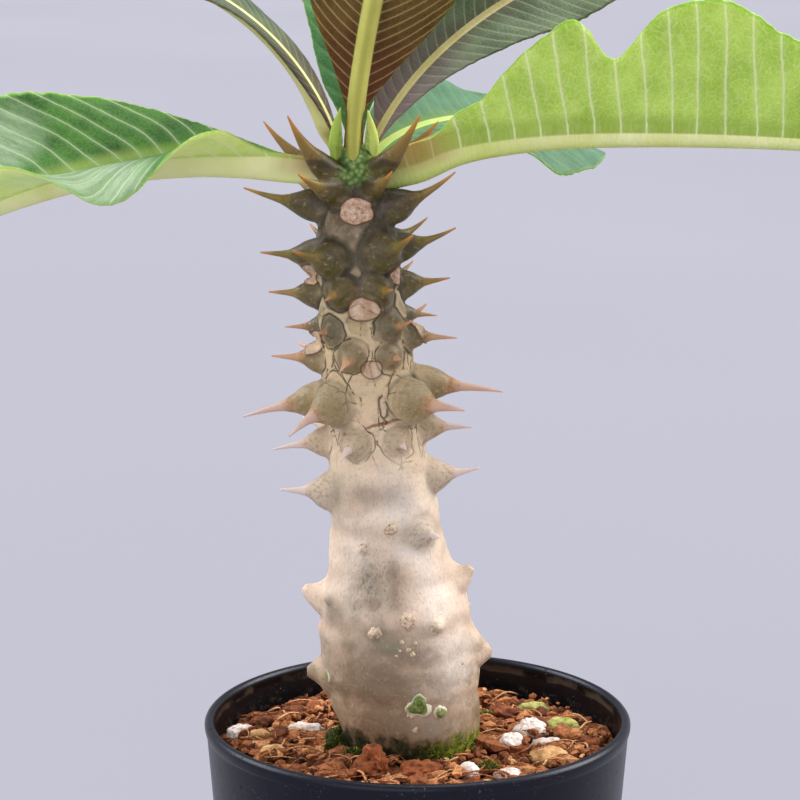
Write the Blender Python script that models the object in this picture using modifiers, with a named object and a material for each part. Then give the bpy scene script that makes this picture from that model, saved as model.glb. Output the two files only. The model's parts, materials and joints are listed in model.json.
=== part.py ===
"""Potted pachypodium: a young spiny stem with a rosette of waved leaves, rooted in bark and pumice
in a round tapered nursery pot. Sizes are millimetres; MM turns them into metres where a mesh is made.
The origin is the middle of the pot's underside, +Z is up and -Y is the front."""
import math
import random

import bmesh
import bpy
import numpy as np
from mathutils import Matrix, Vector

MM = 0.001
GAP = 0.3

# Driving dimensions of the pot
RIM_DIAMETER = 90.0
POT_HEIGHT = 82.0
WALL_TAPER_DEG = 4.5
WALL = 1.5
FLOOR = 2.2
BEAD = 2.3
FOOT_RING = 1.5
HUB_RADIUS = 13.0
GROOVE_RADIUS = 26.0
DRAIN_HOLES = 6
DRAIN_DIAMETER = 7.0
POT_SIDES = 48

# Driving dimensions of the soil
SOIL_LEVEL = 75.4
SOIL_SLOPE = 0.022
SOIL_SEED = 11
LARGE_CHUNK = 4.15

# The stem: height, sideways lean of its middle, radius
STEM_STATIONS = (
    (52.0, -0.6, 6.0), (64.0, -0.8, 11.0), (76.0, -1.2, 14.0), (86.0, -2.7, 16.0),
    (96.0, -3.9, 16.7), (106.0, -4.8, 15.6), (116.0, -5.9, 12.9), (128.0, -7.0, 11.2),
    (140.0, -8.5, 10.3), (152.0, -9.9, 9.9), (164.0, -11.0, 9.4), (176.0, -12.2, 8.8),
    (186.0, -12.7, 8.0), (194.0, -12.8, 6.3), (199.0, -12.8, 5.0), (202.0, -12.8, 3.3),
    (203.4, -12.8, 1.2),
)
STEM_RINGS = 30
STEM_RESOLUTION = 9

# Spines seen from the front: azimuth from the front, height of the root, reach of the tip from the
# stem's middle, height of the tip, radius of the swollen base
FRONT_SPINES = (
    (-115, 195.2, 21.0, 206.6, 2.5), (-50, 196.2, 17.2, 209.6, 2.8), (42, 196.7, 19.5, 210.2, 2.7),
    (114, 197.2, 18.6, 206.7, 2.5), (-90, 190.0, 22.7, 193.9, 3.5), (-38, 193.3, 18.0, 198.4, 2.8),
    (33, 193.7, 13.8, 198.6, 2.4), (76, 189.7, 20.8, 197.7, 3.6), (-97, 179.8, 20.1, 180.3, 3.5),
    (-38, 180.0, 20.3, 183.3, 3.9), (39, 181.2, 18.2, 186.3, 4.1), (88, 181.4, 20.2, 185.8, 3.2),
    (-90, 172.2, 18.8, 172.5, 3.2), (92, 174.0, 18.6, 175.3, 3.1), (-25, 173.9, 15.6, 173.0, 3.5),
    (27, 173.9, 15.0, 175.1, 3.5), (-92, 165.3, 16.3, 165.1, 2.3), (-47, 165.3, 12.4, 165.5, 2.9),
    (39, 166.2, 15.6, 168.5, 3.0), (104, 167.6, 15.8, 166.9, 2.1), (80, 163.6, 19.2, 163.5, 2.7),
    (-86, 158.9, 19.7, 159.4, 3.2), (-18, 160.5, 16.2, 158.8, 2.9), (32, 160.3, 13.6, 160.6, 2.8),
    (-92, 150.0, 26.6, 146.1, 3.9), (-48, 150.6, 22.0, 145.4, 4.5), (50, 150.9, 24.8, 151.0, 4.7),
    (88, 153.6, 27.6, 151.8, 3.7), (-91, 141.2, 21.4, 139.3, 3.2), (-25, 142.7, 16.4, 140.3, 3.5),
    (28, 143.0, 13.6, 142.0, 3.3), (88, 144.4, 20.3, 144.3, 3.3), (-86, 130.6, 21.3, 131.2, 4.2),
    (86, 134.0, 20.5, 135.8, 3.9), (42, 123.5, 16.4, 123.7, 3.6),
)
# Worn stubs, scabs and healed bumps low on the stem, in the same five figures
FRONT_BUMPS = (
    (-24, 120.8, 13.7, 121.4, 2.3), (85, 111.6, 16.8, 114.6, 4.6), (-88, 107.8, 18.8, 110.0, 5.0),
    (-61, 109.4, 16.0, 109.1, 2.5), (10, 106.4, 16.6, 106.5, 2.4), (-15, 103.7, 17.1, 103.8, 2.3),
    (33, 104.8, 17.2, 105.2, 3.2), (82, 96.7, 19.8, 96.4, 5.2), (-88, 91.6, 20.2, 91.5, 5.6),
)
# Leaf scars seen from the front: azimuth, height, half-width, half-height
FRONT_SCARS = (
    (2, 190.1, 3.4, 2.7), (-80, 176.3, 1.8, 2.3), (61, 177.4, 2.2, 3.0), (4, 170.4, 3.5, 2.6),
    (-79, 162.3, 1.8, 2.4), (82, 164.6, 1.8, 2.1), (5, 158.2, 2.2, 1.8),
)
# The far side repeats the same habit: one leaf node to a step, three spines over each scar
BACK_NODE_HEIGHTS = (190.6, 181.2, 173.2, 164.6, 157.2, 150.6, 142.4, 132.4)
BACK_SPINE_OFFSETS = (-50, -13, 33)
BACK_SCAR_OFFSET = 10
BACK_SEED = 5
HORN_PLACES = (0.0, 0.28, 0.40, 0.56, 1.0)
HORN_SWELL = (1.0, 0.98, 0.74, 0.34, 0.06)
# The spines round the crown, rooted above this height, stay full for longer
CROWN_HEIGHT = 195.0
CROWN_SWELL = (1.0, 0.98, 0.90, 0.66, 0.08)
BUMP_SWELL = (1.05, 1.0, 0.82, 0.56, 0.26)

# Leaves: blade thickness and the mesh's steps
BLADE = 0.7
MIDRIB_HALF_WIDTH = 1.9


def stem_at(heights):
    """Lean and radius of the stem at the given heights, read smoothly between its stations."""
    stations = np.array(STEM_STATIONS)
    return smooth_read(stations[:, 0], stations[:, 1:], np.asarray(heights, float))


def smooth_read(knots, values, wanted):
    """Cubic Hermite curve through the values, with slopes from the neighbouring knots."""
    slopes = np.gradient(values, knots, axis=0)
    k = np.clip(np.searchsorted(knots, wanted) - 1, 0, len(knots) - 2)
    span = (knots[k + 1] - knots[k])[..., None]
    u = ((wanted - knots[k])[..., None]) / span
    rise = u * u * (3 - 2 * u)
    start_pull = u * (1 - u) ** 2 * span
    end_pull = u * u * (u - 1) * span
    return values[k] * (1 - rise) + values[k + 1] * rise + slopes[k] * start_pull + slopes[k + 1] * end_pull


def even_read(values, wanted):
    """The same smooth curve for values that stand at even steps from 0 to 1."""
    column = np.asarray(values, float)[:, None]
    return smooth_read(np.linspace(0, 1, len(column)), column, wanted)[..., 0]


# Scene, collections and materials
for old in list(bpy.data.objects):
    bpy.data.objects.remove(old, do_unlink=True)

part = bpy.data.collections.new("potted_pachypodium")
cutters = bpy.data.collections.new("cutters")
bpy.context.scene.collection.children.link(part)
bpy.context.scene.collection.children.link(cutters)


def material(name, colour, roughness):
    made = bpy.data.materials.new(name)
    made.use_nodes = True
    shader = made.node_tree.nodes["Principled BSDF"]
    shader.inputs["Base Color"].default_value = (*colour, 1)
    shader.inputs["Roughness"].default_value = roughness
    shader.inputs["Metallic"].default_value = 0
    made.diffuse_color = (*colour, 1)
    return made


def new_object(name, mesh, collection, finish=None):
    made = bpy.data.objects.new(name, mesh)
    collection.objects.link(made)
    if finish:
        mesh.materials.append(finish)
    return made


def as_cutter(made):
    made.hide_render = True
    made.display_type = "WIRE"
    return made


def apply_modifiers(made):
    """The object keeps the mesh that its modifiers give, and loses the modifiers."""
    bpy.context.view_layer.update()
    evaluated = made.evaluated_get(bpy.context.evaluated_depsgraph_get())
    mesh = bpy.data.meshes.new_from_object(evaluated)
    made.modifiers.clear()
    made.data = mesh


def boolean(made, operation, other, solver="EXACT"):
    """Union or difference with one object or with all of a collection, applied at once."""
    step = made.modifiers.new(operation.lower(), "BOOLEAN")
    step.operation = operation
    step.solver = solver
    if isinstance(other, bpy.types.Collection):
        step.operand_type = "COLLECTION"
        step.collection = other
    else:
        step.object = other
    apply_modifiers(made)


def clear_collection(collection):
    for used in list(collection.objects):
        bpy.data.objects.remove(used, do_unlink=True)
    bpy.data.collections.remove(collection)


def keep_largest_piece(made):
    """Loose scraps left by a cut are dropped: only the island with the most faces stays."""
    bm = bmesh.new()
    bm.from_mesh(made.data)
    unseen = set(bm.verts)
    islands = []
    while unseen:
        island = set()
        front = [unseen.pop()]
        while front:
            vert = front.pop()
            island.add(vert)
            for edge in vert.link_edges:
                other = edge.other_vert(vert)
                if other in unseen:
                    unseen.remove(other)
                    front.append(other)
        islands.append(island)
    islands.sort(key=len)
    for island in islands[:-1]:
        bmesh.ops.delete(bm, geom=list(island), context="VERTS")
    bm.to_mesh(made.data)
    bm.free()


def turned(name, profile, collection, finish, sides):
    """A profile of (radius, height) in the XZ plane, turned once round Z."""
    mesh = bpy.data.meshes.new(name)
    points = [(radius * MM, 0, height * MM) for radius, height in profile]
    mesh.from_pydata(points, [(i, i + 1) for i in range(len(points) - 1)], [])
    made = new_object(name, mesh, collection, finish)
    screw = made.modifiers.new("turn", "SCREW")
    screw.axis = "Z"
    screw.angle = math.tau
    screw.steps = sides
    screw.render_steps = sides
    screw.use_merge_vertices = True
    screw.merge_threshold = 0.00001
    return made


def tapered_tube(name, points, radii, resolution, collection, finish=None):
    """A poly curve with a radius at each point, made a closed mesh with its caps welded."""
    curve = bpy.data.curves.new(name, "CURVE")
    curve.dimensions = "3D"
    curve.bevel_depth = MM
    curve.bevel_resolution = resolution
    curve.use_fill_caps = True
    spline = curve.splines.new("POLY")
    spline.points.add(len(points) - 1)
    for spot, place, radius in zip(spline.points, points, radii):
        spot.co = (*(Vector(place) * MM), 1)
        spot.radius = radius
    guide = new_object(name + "_curve", curve, collection)
    bpy.context.view_layer.update()
    evaluated = guide.evaluated_get(bpy.context.evaluated_depsgraph_get())
    mesh = bpy.data.meshes.new_from_object(evaluated)
    bpy.data.objects.remove(guide, do_unlink=True)
    bm = bmesh.new()
    bm.from_mesh(mesh)
    bmesh.ops.remove_doubles(bm, verts=bm.verts, dist=0.000005)
    bmesh.ops.recalc_face_normals(bm, faces=bm.faces)
    bm.to_mesh(mesh)
    bm.free()
    mesh.materials.clear()
    return new_object(name, mesh, collection, finish)


def shade_smooth(made, sharp_deg=40):
    made.data.shade_smooth()
    made.data.set_sharp_from_angle(angle=math.radians(sharp_deg))


# Pot: one moulded shell with a rolled rim bead, a foot ring and drain holes in a groove under it
slate_plastic = material("slate_plastic", (0.026, 0.030, 0.042), 0.42)


def pot_outer_radius(height):
    """The outer wall's radius: it leans out from the foot to just under the rim bead."""
    below_bead = RIM_DIAMETER / 2 - 0.4
    return below_bead - (POT_HEIGHT - BEAD - height) * math.tan(math.radians(WALL_TAPER_DEG))


def pot_inner_radius(height):
    return pot_outer_radius(height) - WALL


rim = RIM_DIAMETER / 2
pot_profile = [
    (0, FLOOR + FOOT_RING),
    (pot_inner_radius(FLOOR + FOOT_RING) - 1.0, FLOOR + FOOT_RING),
    (pot_inner_radius(FLOOR + FOOT_RING + 1.0), FLOOR + FOOT_RING + 1.0),
    (pot_inner_radius(POT_HEIGHT - BEAD), POT_HEIGHT - BEAD),
    (rim - 2.3, POT_HEIGHT - 0.9),
    (rim - 1.9, POT_HEIGHT - 0.2),
    (rim - 1.2, POT_HEIGHT),
    (rim - 0.4, POT_HEIGHT - 0.2),
    (rim, POT_HEIGHT - 0.9),
    (rim - 0.1, POT_HEIGHT - BEAD + 0.5),
    (pot_outer_radius(POT_HEIGHT - BEAD), POT_HEIGHT - BEAD),
    (pot_outer_radius(1.0), 1.0),
    (pot_outer_radius(0) - 0.8, 0),
    (GROOVE_RADIUS + 0.8, 0),
    (GROOVE_RADIUS, FOOT_RING),
    (HUB_RADIUS, FOOT_RING),
    (HUB_RADIUS - 0.8, 0),
    (0, 0),
]
pot = turned("pot", pot_profile, part, slate_plastic, POT_SIDES)

drains = bpy.data.collections.new("drain_holes")
cutters.children.link(drains)
drain_ring = (HUB_RADIUS + GROOVE_RADIUS) / 2
for hole in range(DRAIN_HOLES):
    turn = math.tau * hole / DRAIN_HOLES
    bpy.ops.mesh.primitive_cylinder_add(
        vertices=12, radius=DRAIN_DIAMETER / 2 * MM, depth=12 * MM,
        location=(drain_ring * math.cos(turn) * MM, drain_ring * math.sin(turn) * MM, 2 * MM),
    )
    drill = bpy.context.object
    drill.name = f"drain_{hole}"
    for home in list(drill.users_collection):
        home.objects.unlink(drill)
    drains.objects.link(drill)
    as_cutter(drill)
apply_modifiers(pot)
boolean(pot, "DIFFERENCE", drains)
clear_collection(drains)
shade_smooth(pot)


# Stem: one tapered leaning body with every spine, stub and leaf scar fused to it
bark = material("bark", (0.55, 0.47, 0.38), 0.62)


def stem_body(name, collection, grow=0.0, highest=STEM_STATIONS[-1][0], finish=None):
    """The bare stem. A cutter is the same body, thicker by grow."""
    heights = np.linspace(STEM_STATIONS[0][0], highest, STEM_RINGS)
    lean, radius = stem_at(heights).T
    points = [(x, 0, z) for x, z in zip(lean, heights)]
    points[0] = (points[0][0], 0, points[0][2] - grow)
    points[-1] = (points[-1][0], 0, points[-1][2] + grow)
    return tapered_tube(name, points, radius + grow, STEM_RESOLUTION, collection, finish)


def horn(name, spine, collection, swell, grow=0.0):
    """A thorn: a quadratic curve that leaves the stem square to it and bends to its tip,
    swollen at the root and sunk well into the stem."""
    azimuth, root, reach, tip, base = spine
    lean, radius = stem_at([root])[0]
    outward = np.array([math.sin(math.radians(azimuth)), -math.cos(math.radians(azimuth)), 0])
    middle = np.array([lean, 0, root])
    out = reach - radius
    start = middle + outward * max(radius - 3.5, 0.5)
    bend = middle + outward * (radius + 0.4 * out) + np.array([0, 0, 0.12 * (tip - root)])
    end = middle + outward * (reach + grow) + np.array([0, 0, tip - root])
    u = np.array(HORN_PLACES)[:, None]
    points = (1 - u) ** 2 * start + 2 * u * (1 - u) * bend + u * u * end
    radii = np.array(swell) * base + grow
    return tapered_tube(name, points, radii, 1, collection)


def scar(name, place, collection):
    """A leaf scar: a low ten-sided disc lying on the stem, its face 0.6 mm proud."""
    azimuth, height, half_width, half_height = place
    lean, radius = stem_at([height])[0]
    bm = bmesh.new()
    bmesh.ops.create_cone(bm, cap_ends=True, segments=10, radius1=1.15, radius2=0.9, depth=2.4)
    turn = Matrix.Rotation(math.radians(azimuth), 4, "Z") @ Matrix.Rotation(math.radians(90), 4, "X")
    size = Matrix.Diagonal((half_width, half_height, 1, 1))
    bmesh.ops.transform(bm, matrix=turn @ size, verts=bm.verts)
    outward = Vector((math.sin(math.radians(azimuth)), -math.cos(math.radians(azimuth)), 0))
    spot = Vector((lean, 0, height)) + outward * (radius - 0.6)
    bmesh.ops.transform(bm, matrix=Matrix.Scale(MM, 4) @ Matrix.Translation(spot), verts=bm.verts)
    mesh = bpy.data.meshes.new(name)
    bm.to_mesh(mesh)
    bm.free()
    return new_object(name, mesh, collection)


def back_nodes():
    """The unseen side: three spines to a tier with a scar under two of them, mirrored tier by tier."""
    draw = random.Random(BACK_SEED)
    spines = []
    scars = []
    for tier, height in enumerate(BACK_NODE_HEIGHTS):
        mirror = 1 if tier % 2 else -1
        radius = stem_at([height])[0][1]
        for offset in BACK_SPINE_OFFSETS:
            azimuth = 180 + mirror * offset + draw.uniform(-4, 4)
            root = height + draw.uniform(-0.8, 0.8)
            reach = radius + draw.uniform(8.0, 10.5)
            tip = root + draw.uniform(-1, 2) + 3 * (1 - tier / len(BACK_NODE_HEIGHTS))
            spines.append((azimuth, root, reach, tip, draw.uniform(3.0, 3.7)))
        scars.append((180 + mirror * BACK_SCAR_OFFSET, height - 4.4, 2.9, 2.2))
    return spines, scars


back_spines, back_scars = back_nodes()
spines = list(FRONT_SPINES) + back_spines
stem = stem_body("trunk", part, finish=bark)
growths = bpy.data.collections.new("growths")
bpy.context.scene.collection.children.link(growths)
for number, spine in enumerate(spines):
    horn(f"spine_{number}", spine, growths, CROWN_SWELL if spine[1] > CROWN_HEIGHT else HORN_SWELL)
for number, bump in enumerate(FRONT_BUMPS):
    horn(f"bump_{number}", bump, growths, BUMP_SWELL)
for number, place in enumerate(list(FRONT_SCARS) + back_scars):
    scar(f"scar_{number}", place, growths)
boolean(stem, "UNION", growths)
clear_collection(growths)
keep_largest_piece(stem)
shade_smooth(stem, 50)


# Soil: fills the pot to just under the rim, with bark, pumice and stones fused on its uneven top
soil_brown = material("soil_brown", (0.16, 0.075, 0.035), 0.9)
SOIL_FLOOR = FLOOR + FOOT_RING + GAP


def soil_top(x, y):
    """Height of the soil: lower towards the back, with low waves."""
    waves = 0.5 * np.sin(0.31 * x + 0.9) * np.cos(0.27 * y) + 0.35 * np.sin(0.55 * y + 0.2 * x)
    return SOIL_LEVEL - SOIL_SLOPE * y + waves


# Stones and bark: x, y, half-length, half-width, half-height, turn in degrees, how proud
CHUNKS = (
    (-38.0, 3.5, 3.4, 2.4, 2.2, 60, 1.2), (-23.9, 8.0, 4.2, 2.0, 2.0, 5, 1.0),
    (-33.5, 2.5, 2.6, 2.0, 1.8, 30, 0.8), (-30.0, -9.0, 3.0, 2.2, 1.8, 20, 0.8),
    (-34.5, 13.0, 4.2, 3.0, 2.2, 70, 0.6), (-27.5, 21.0, 4.5, 3.2, 2.4, 40, 0.6),
    (-9.4, -20.6, 3.9, 3.2, 4.4, 70, 4.2), (0.6, -22.6, 4.4, 3.2, 2.6, 15, 1.2),
    (-17.5, -19.0, 3.8, 2.6, 2.0, 150, 0.8), (10.5, -20.5, 2.9, 2.4, 2.2, 80, 1.2),
    (19.8, -3.4, 3.2, 2.4, 2.4, 70, 1.4), (24.2, 5.8, 3.5, 3.0, 2.8, 35, 1.6),
    (27.0, -1.2, 3.4, 1.8, 1.4, 20, 1.0), (25.6, 21.5, 3.8, 2.8, 2.2, 10, 1.2),
    (31.6, 8.4, 4.2, 3.2, 2.6, 150, 1.6), (27.2, -12.0, 4.6, 3.4, 2.8, 35, 1.6),
    (36.0, -2.2, 3.4, 3.0, 2.2, 80, 0.8), (18.8, -22.5, 3.4, 2.2, 1.4, 160, 0.8),
    (18.6, 18.8, 3.6, 3.0, 2.2, 120, 1.0), (-19.5, -6.0, 3.4, 2.4, 1.8, 30, 0.6),
    (-25.0, -19.5, 3.8, 2.6, 1.8, 130, 0.6), (-3.0, 27.0, 4.2, 3.0, 2.2, 15, 0.8),
    (10.0, 30.5, 3.6, 2.8, 2.2, 60, 1.0), (-15.0, 30.0, 4.0, 2.8, 2.2, 100, 0.8),
    (0.5, -33.0, 3.6, 2.6, 1.8, 45, 0.8), (14.0, -31.0, 3.2, 2.6, 1.8, 90, 0.8),
    (-12.5, -32.0, 3.6, 2.4, 1.8, 20, 0.8),
)


def chunk(name, place, draw, collection):
    """An angular lump: a small icosphere with its points moved in and out and stretched."""
    x, y, half_length, half_width, half_height, turn, proud = place
    bm = bmesh.new()
    bmesh.ops.create_icosphere(bm, subdivisions=2 if half_length > LARGE_CHUNK else 1, radius=1)
    for vert in bm.verts:
        vert.co *= draw.uniform(0.84, 1.1)
    size = Matrix.Diagonal((half_length, half_width, half_height, 1))
    spin = Matrix.Rotation(math.radians(turn), 4, "Z")
    spot = Matrix.Translation((x, y, soil_top(x, y) + proud - half_height * 0.35))
    bmesh.ops.transform(bm, matrix=Matrix.Scale(MM, 4) @ spot @ spin @ size, verts=bm.verts)
    mesh = bpy.data.meshes.new(name)
    bm.to_mesh(mesh)
    bm.free()
    return new_object(name, mesh, collection)


soil_edge = pot_inner_radius(SOIL_LEVEL) - GAP
soil_foot = pot_inner_radius(SOIL_FLOOR + 1.2) - GAP
soil_profile = [
    (0, SOIL_LEVEL), (8, SOIL_LEVEL), (16, SOIL_LEVEL), (23, SOIL_LEVEL), (30, SOIL_LEVEL),
    (36, SOIL_LEVEL), (soil_edge - 0.2, SOIL_LEVEL), (soil_foot, SOIL_FLOOR + 1.2),
    (soil_foot - 1.4, SOIL_FLOOR), (0, SOIL_FLOOR),
]
soil = turned("soil", soil_profile, part, soil_brown, 40)
apply_modifiers(soil)
for vert in soil.data.vertices:
    if vert.co.z > (SOIL_LEVEL - 1) * MM:
        vert.co.z = soil_top(vert.co.x / MM, vert.co.y / MM) * MM
lumps = bpy.data.collections.new("lumps")
bpy.context.scene.collection.children.link(lumps)
chunk_draw = random.Random(SOIL_SEED)
for number, place in enumerate(CHUNKS):
    chunk(f"chunk_{number}", place, chunk_draw, lumps)
boolean(soil, "UNION", lumps)
clear_collection(lumps)
root_hole = as_cutter(stem_body("root_hole", cutters, grow=GAP, highest=100))
boolean(soil, "DIFFERENCE", root_hole)
bpy.data.objects.remove(root_hole, do_unlink=True)
keep_largest_piece(soil)
shade_smooth(soil, 30)


# Leaves: each is one waved blade on a keeled midrib that narrows to its stalk at the crown.
# Midrib: four points of a cubic curve. Face: the way the upper side looks. Keel: depth of the
# midrib and stalk. The halves are margin distances and margin tilts at even steps from stalk to
# tip; a tilt is measured up from the flat blade towards the upper side.
LEAVES = {
    "leaf_right": {
        "midrib": ((-7.2, 0.0, 199.3), (12.0, 0.0, 208.0), (70.0, -4.0, 209.0), (133.0, -4.0, 196.0)),
        "face": (0, 0, 1), "keel": (6.0, 6.4, 4.6, 3.8, 3.4, 3.2, 2.8, 2.2, 1.6, 1.1, 0.8), "rows": 20,
        "plus": ((1.9, 2.0, 5.5, 11.0, 16.4, 21.0, 23.5, 24.0, 21.0, 13.5, 0.5),
                 (60, 45, 40, 30, 28, 32, 25, 15, 20, 15, 0)),
        "minus": ((1.9, 1.9, 2.0, 2.6, 6.6, 9.0, 15.4, 20.6, 24.2, 15.8, 25.0, 29.3, 28.8, 24.0, 22.0,
                   23.0, 23.0, 19.5, 15.0, 8.5, 0.5),
                  (60, 60, 64, 68, 70, 68, 66, 60, 55, 50, 44)),
    },
    "leaf_left": {
        "midrib": ((-18.4, 0.0, 198.8), (-45.0, -2.0, 202.5), (-78.0, -6.0, 206.0), (-140.0, -14.0, 160.0)),
        "face": (0, 0, 1), "keel": (4.2, 4.6, 4.4, 4.2, 4.0, 3.6, 3.2, 2.6, 1.8, 1.2, 0.8), "rows": 20,
        "plus": ((1.9, 1.9, 2.0, 2.8, 6.5, 12.5, 16.5, 19.0, 20.5, 21.5, 22.0, 22.5, 23.0, 23.0, 23.0,
                  22.0, 20.0, 17.0, 13.0, 8.0, 0.5),
                 (40, 38, 36, 34, 33, 29, 21, 10, -3, -12, -11, 4, 18, 24, 26, 25, 18, 0, -10, 0, 0)),
        "minus": ((1.9, 2.0, 6.0, 11.8, 18.2, 23.2, 25.3, 24.0, 20.0, 12.5, 0.5),
                  (40, 27, 29, 30, 32, 37, 46, 50, 44, 30, 10)),
    },
    "leaf_upper_left": {
        "midrib": ((-16.0, 0.4, 202.4), (-19.0, 1.0, 213.5), (-36.0, 3.0, 247.0), (-84.0, 6.0, 238.0)),
        "face": (0.8, 0, 0.6), "keel": (2.2, 3.0, 2.8, 2.4, 2.2, 2.0, 1.8, 1.5, 1.2, 1.0, 0.8), "rows": 12,
        "plus": ((1.1, 1.8, 4.0, 6.5, 8.5, 10.0, 11.5, 12.0, 10.5, 6.5, 0.5),
                 (6, -6, -9, -8, -5, -3, -6, -12, -4, 0, 0)),
        "minus": ((1.1, 1.8, 4.0, 6.5, 8.5, 10.0, 11.5, 12.0, 10.5, 6.5, 0.5),
                  (20, 18, 16, 14, 12, 10, 14, 20, 12, 8, 0)),
    },
    "leaf_front": {
        "midrib": ((-13.1, -1.7, 203.2), (-12.4, -6.5, 225.0), (-1.5, -14.0, 262.0), (5.0, -36.0, 297.0)),
        "face": (0, 1, 0.25), "keel": (3.4, 3.4, 3.2, 3.0, 2.8, 2.6, 2.2, 1.8, 1.4, 1.0, 0.8), "rows": 12,
        "plus": ((1.9, 2.1, 7.5, 14.0, 19.0, 21.0, 21.5, 20.0, 16.0, 10.0, 0.5),
                 (20, 20, 24, 24, 22, 18, 22, 16, 20, 10, 0)),
        "minus": ((1.9, 2.1, 6.2, 12.0, 17.0, 20.0, 21.0, 20.0, 16.0, 10.0, 0.5),
                  (20, 20, 24, 24, 24, 20, 16, 22, 14, 10, 0)),
    },
    "leaf_upper_right": {
        "midrib": ((-9.3, 2.2, 202.4), (-4.0, 6.0, 214.0), (12.0, 12.0, 237.0), (62.0, 24.0, 246.0)),
        "face": (-0.2, -1, 0.35), "keel": (2.0, 2.8, 2.6, 2.2, 2.0, 1.8, 1.6, 1.4, 1.2, 1.0, 0.8), "rows": 12,
        "plus": ((1.1, 2.0, 5.0, 8.0, 10.5, 12.5, 13.5, 13.5, 11.5, 7.5, 0.5),
                 (15, 20, 22, 22, 18, 16, 20, 14, 10, 6, 0)),
        "minus": ((1.1, 1.5, 2.9, 4.4, 6.0, 8.2, 10.6, 12.0, 11.0, 7.5, 0.5),
                  (10, 12, 12, 14, 10, 12, 16, 10, 12, 6, 0)),
    },
    "leaf_back_right": {
        "midrib": ((-9.6, 5.0, 199.0), (-5.0, 18.0, 207.0), (22.0, 46.0, 210.0), (42.0, 88.0, 190.0)),
        "face": (0, 0, 1), "keel": (2.6, 3.4, 3.2, 2.8, 2.6, 2.4, 2.0, 1.6, 1.3, 1.0, 0.8), "rows": 12,
        "plus": ((1.4, 3.4, 7.5, 11.0, 14.5, 17.0, 18.0, 17.0, 14.0, 8.5, 0.5),
                 (25, 26, 30, 28, 30, 26, 28, 22, 26, 14, 0)),
        "minus": ((1.4, 3.0, 6.5, 10.5, 14.5, 18.5, 21.5, 20.5, 16.0, 9.5, 0.5),
                  (20, 5, -4, -10, -14, -22, -32, -28, -28, -14, 0)),
    },
    "leaf_back": {
        "midrib": ((-12.7, 4.3, 202.2), (-14.6, 11.0, 221.0), (-13.0, 27.0, 246.0), (-10.0, 62.0, 262.0)),
        "face": (0, -1, 0.4), "keel": (2.2, 2.8, 2.6, 2.4, 2.2, 2.0, 1.8, 1.5, 1.2, 1.0, 0.8), "rows": 12,
        "plus": ((1.2, 3.0, 6.2, 8.0, 10.0, 12.5, 14.5, 14.5, 12.5, 8.0, 0.5),
                 (20, 18, 14, 12, 16, 10, 18, 10, 16, 8, 0)),
        "minus": ((1.2, 3.0, 6.2, 8.0, 10.0, 12.5, 14.5, 14.5, 12.5, 8.0, 0.5),
                  (15, 12, 16, 10, 14, 16, 8, 16, 8, 8, 0)),
    },
    "young_leaf_left": {
        "midrib": ((-16.8, -2.6, 201.6), (-17.0, -2.9, 204.6), (-16.4, -2.9, 207.8), (-15.4, -2.8, 210.4)),
        "face": (0.5, 0.8, 0), "keel": (1.2, 1.4, 1.3, 1.1, 1.0, 0.8), "rows": 6,
        "plus": ((1.2, 1.5, 1.5, 1.2, 0.8, 0.25), (30, 30, 30, 25, 20, 10)),
        "minus": ((1.2, 1.5, 1.5, 1.2, 0.8, 0.25), (30, 30, 30, 25, 20, 10)),
    },
    "young_leaf_right": {
        "midrib": ((-9.2, -1.6, 201.2), (-9.0, -1.9, 204.2), (-9.6, -2.0, 207.2), (-10.4, -2.0, 209.8)),
        "face": (-0.5, 0.8, 0), "keel": (1.2, 1.4, 1.3, 1.1, 1.0, 0.8), "rows": 6,
        "plus": ((1.2, 1.5, 1.6, 1.3, 0.8, 0.25), (30, 30, 30, 25, 20, 10)),
        "minus": ((1.2, 1.5, 1.6, 1.3, 0.8, 0.25), (30, 30, 30, 25, 20, 10)),
    },
}
LEAF_COLOURS = {
    "leaf_right": (0.30, 0.47, 0.08), "leaf_left": (0.07, 0.22, 0.04), "leaf_upper_left": (0.16, 0.20, 0.10),
    "leaf_front": (0.12, 0.04, 0.03), "leaf_upper_right": (0.13, 0.16, 0.13),
    "leaf_back_right": (0.12, 0.30, 0.10), "leaf_back": (0.12, 0.32, 0.08),
    "young_leaf_left": (0.42, 0.52, 0.16), "young_leaf_right": (0.50, 0.58, 0.20),
}


def unit(vectors):
    return vectors / np.linalg.norm(vectors, axis=-1, keepdims=True)


def leaf_points(leaf, s, t):
    """Points of the upper side. s runs from stalk to tip, t from the minus margin (-1) to the plus
    margin (1). Each half leaves the midrib at its mean tilt and bends to the margin's own tilt."""
    p0, p1, p2, p3 = (np.array(point, float) for point in leaf["midrib"])
    u = s[:, None]
    middle = (1 - u) ** 3 * p0 + 3 * u * (1 - u) ** 2 * p1 + 3 * u * u * (1 - u) * p2 + u ** 3 * p3
    tangent = unit((1 - u) ** 2 * (p1 - p0) + 2 * u * (1 - u) * (p2 - p1) + u * u * (p3 - p2))
    face = np.array(leaf["face"], float)
    normal = unit(face - (tangent @ face)[:, None] * tangent)
    across = np.cross(normal, tangent)
    points = middle.copy()
    for half, sign in (("plus", 1), ("minus", -1)):
        widths, tilts = leaf[half]
        width = even_read(widths, s)[:, None]
        margin = np.radians(even_read(tilts, s))[:, None]
        root = np.radians(np.mean(tilts))
        reach = np.clip(t * sign, 0, None)[:, None]
        at_root = sign * across * np.cos(root) + normal * np.sin(root)
        at_margin = sign * across * np.cos(margin) + normal * np.sin(margin)
        points += width * (reach * (1 - reach) * at_root + reach ** 2 * at_margin)
    return points


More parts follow.
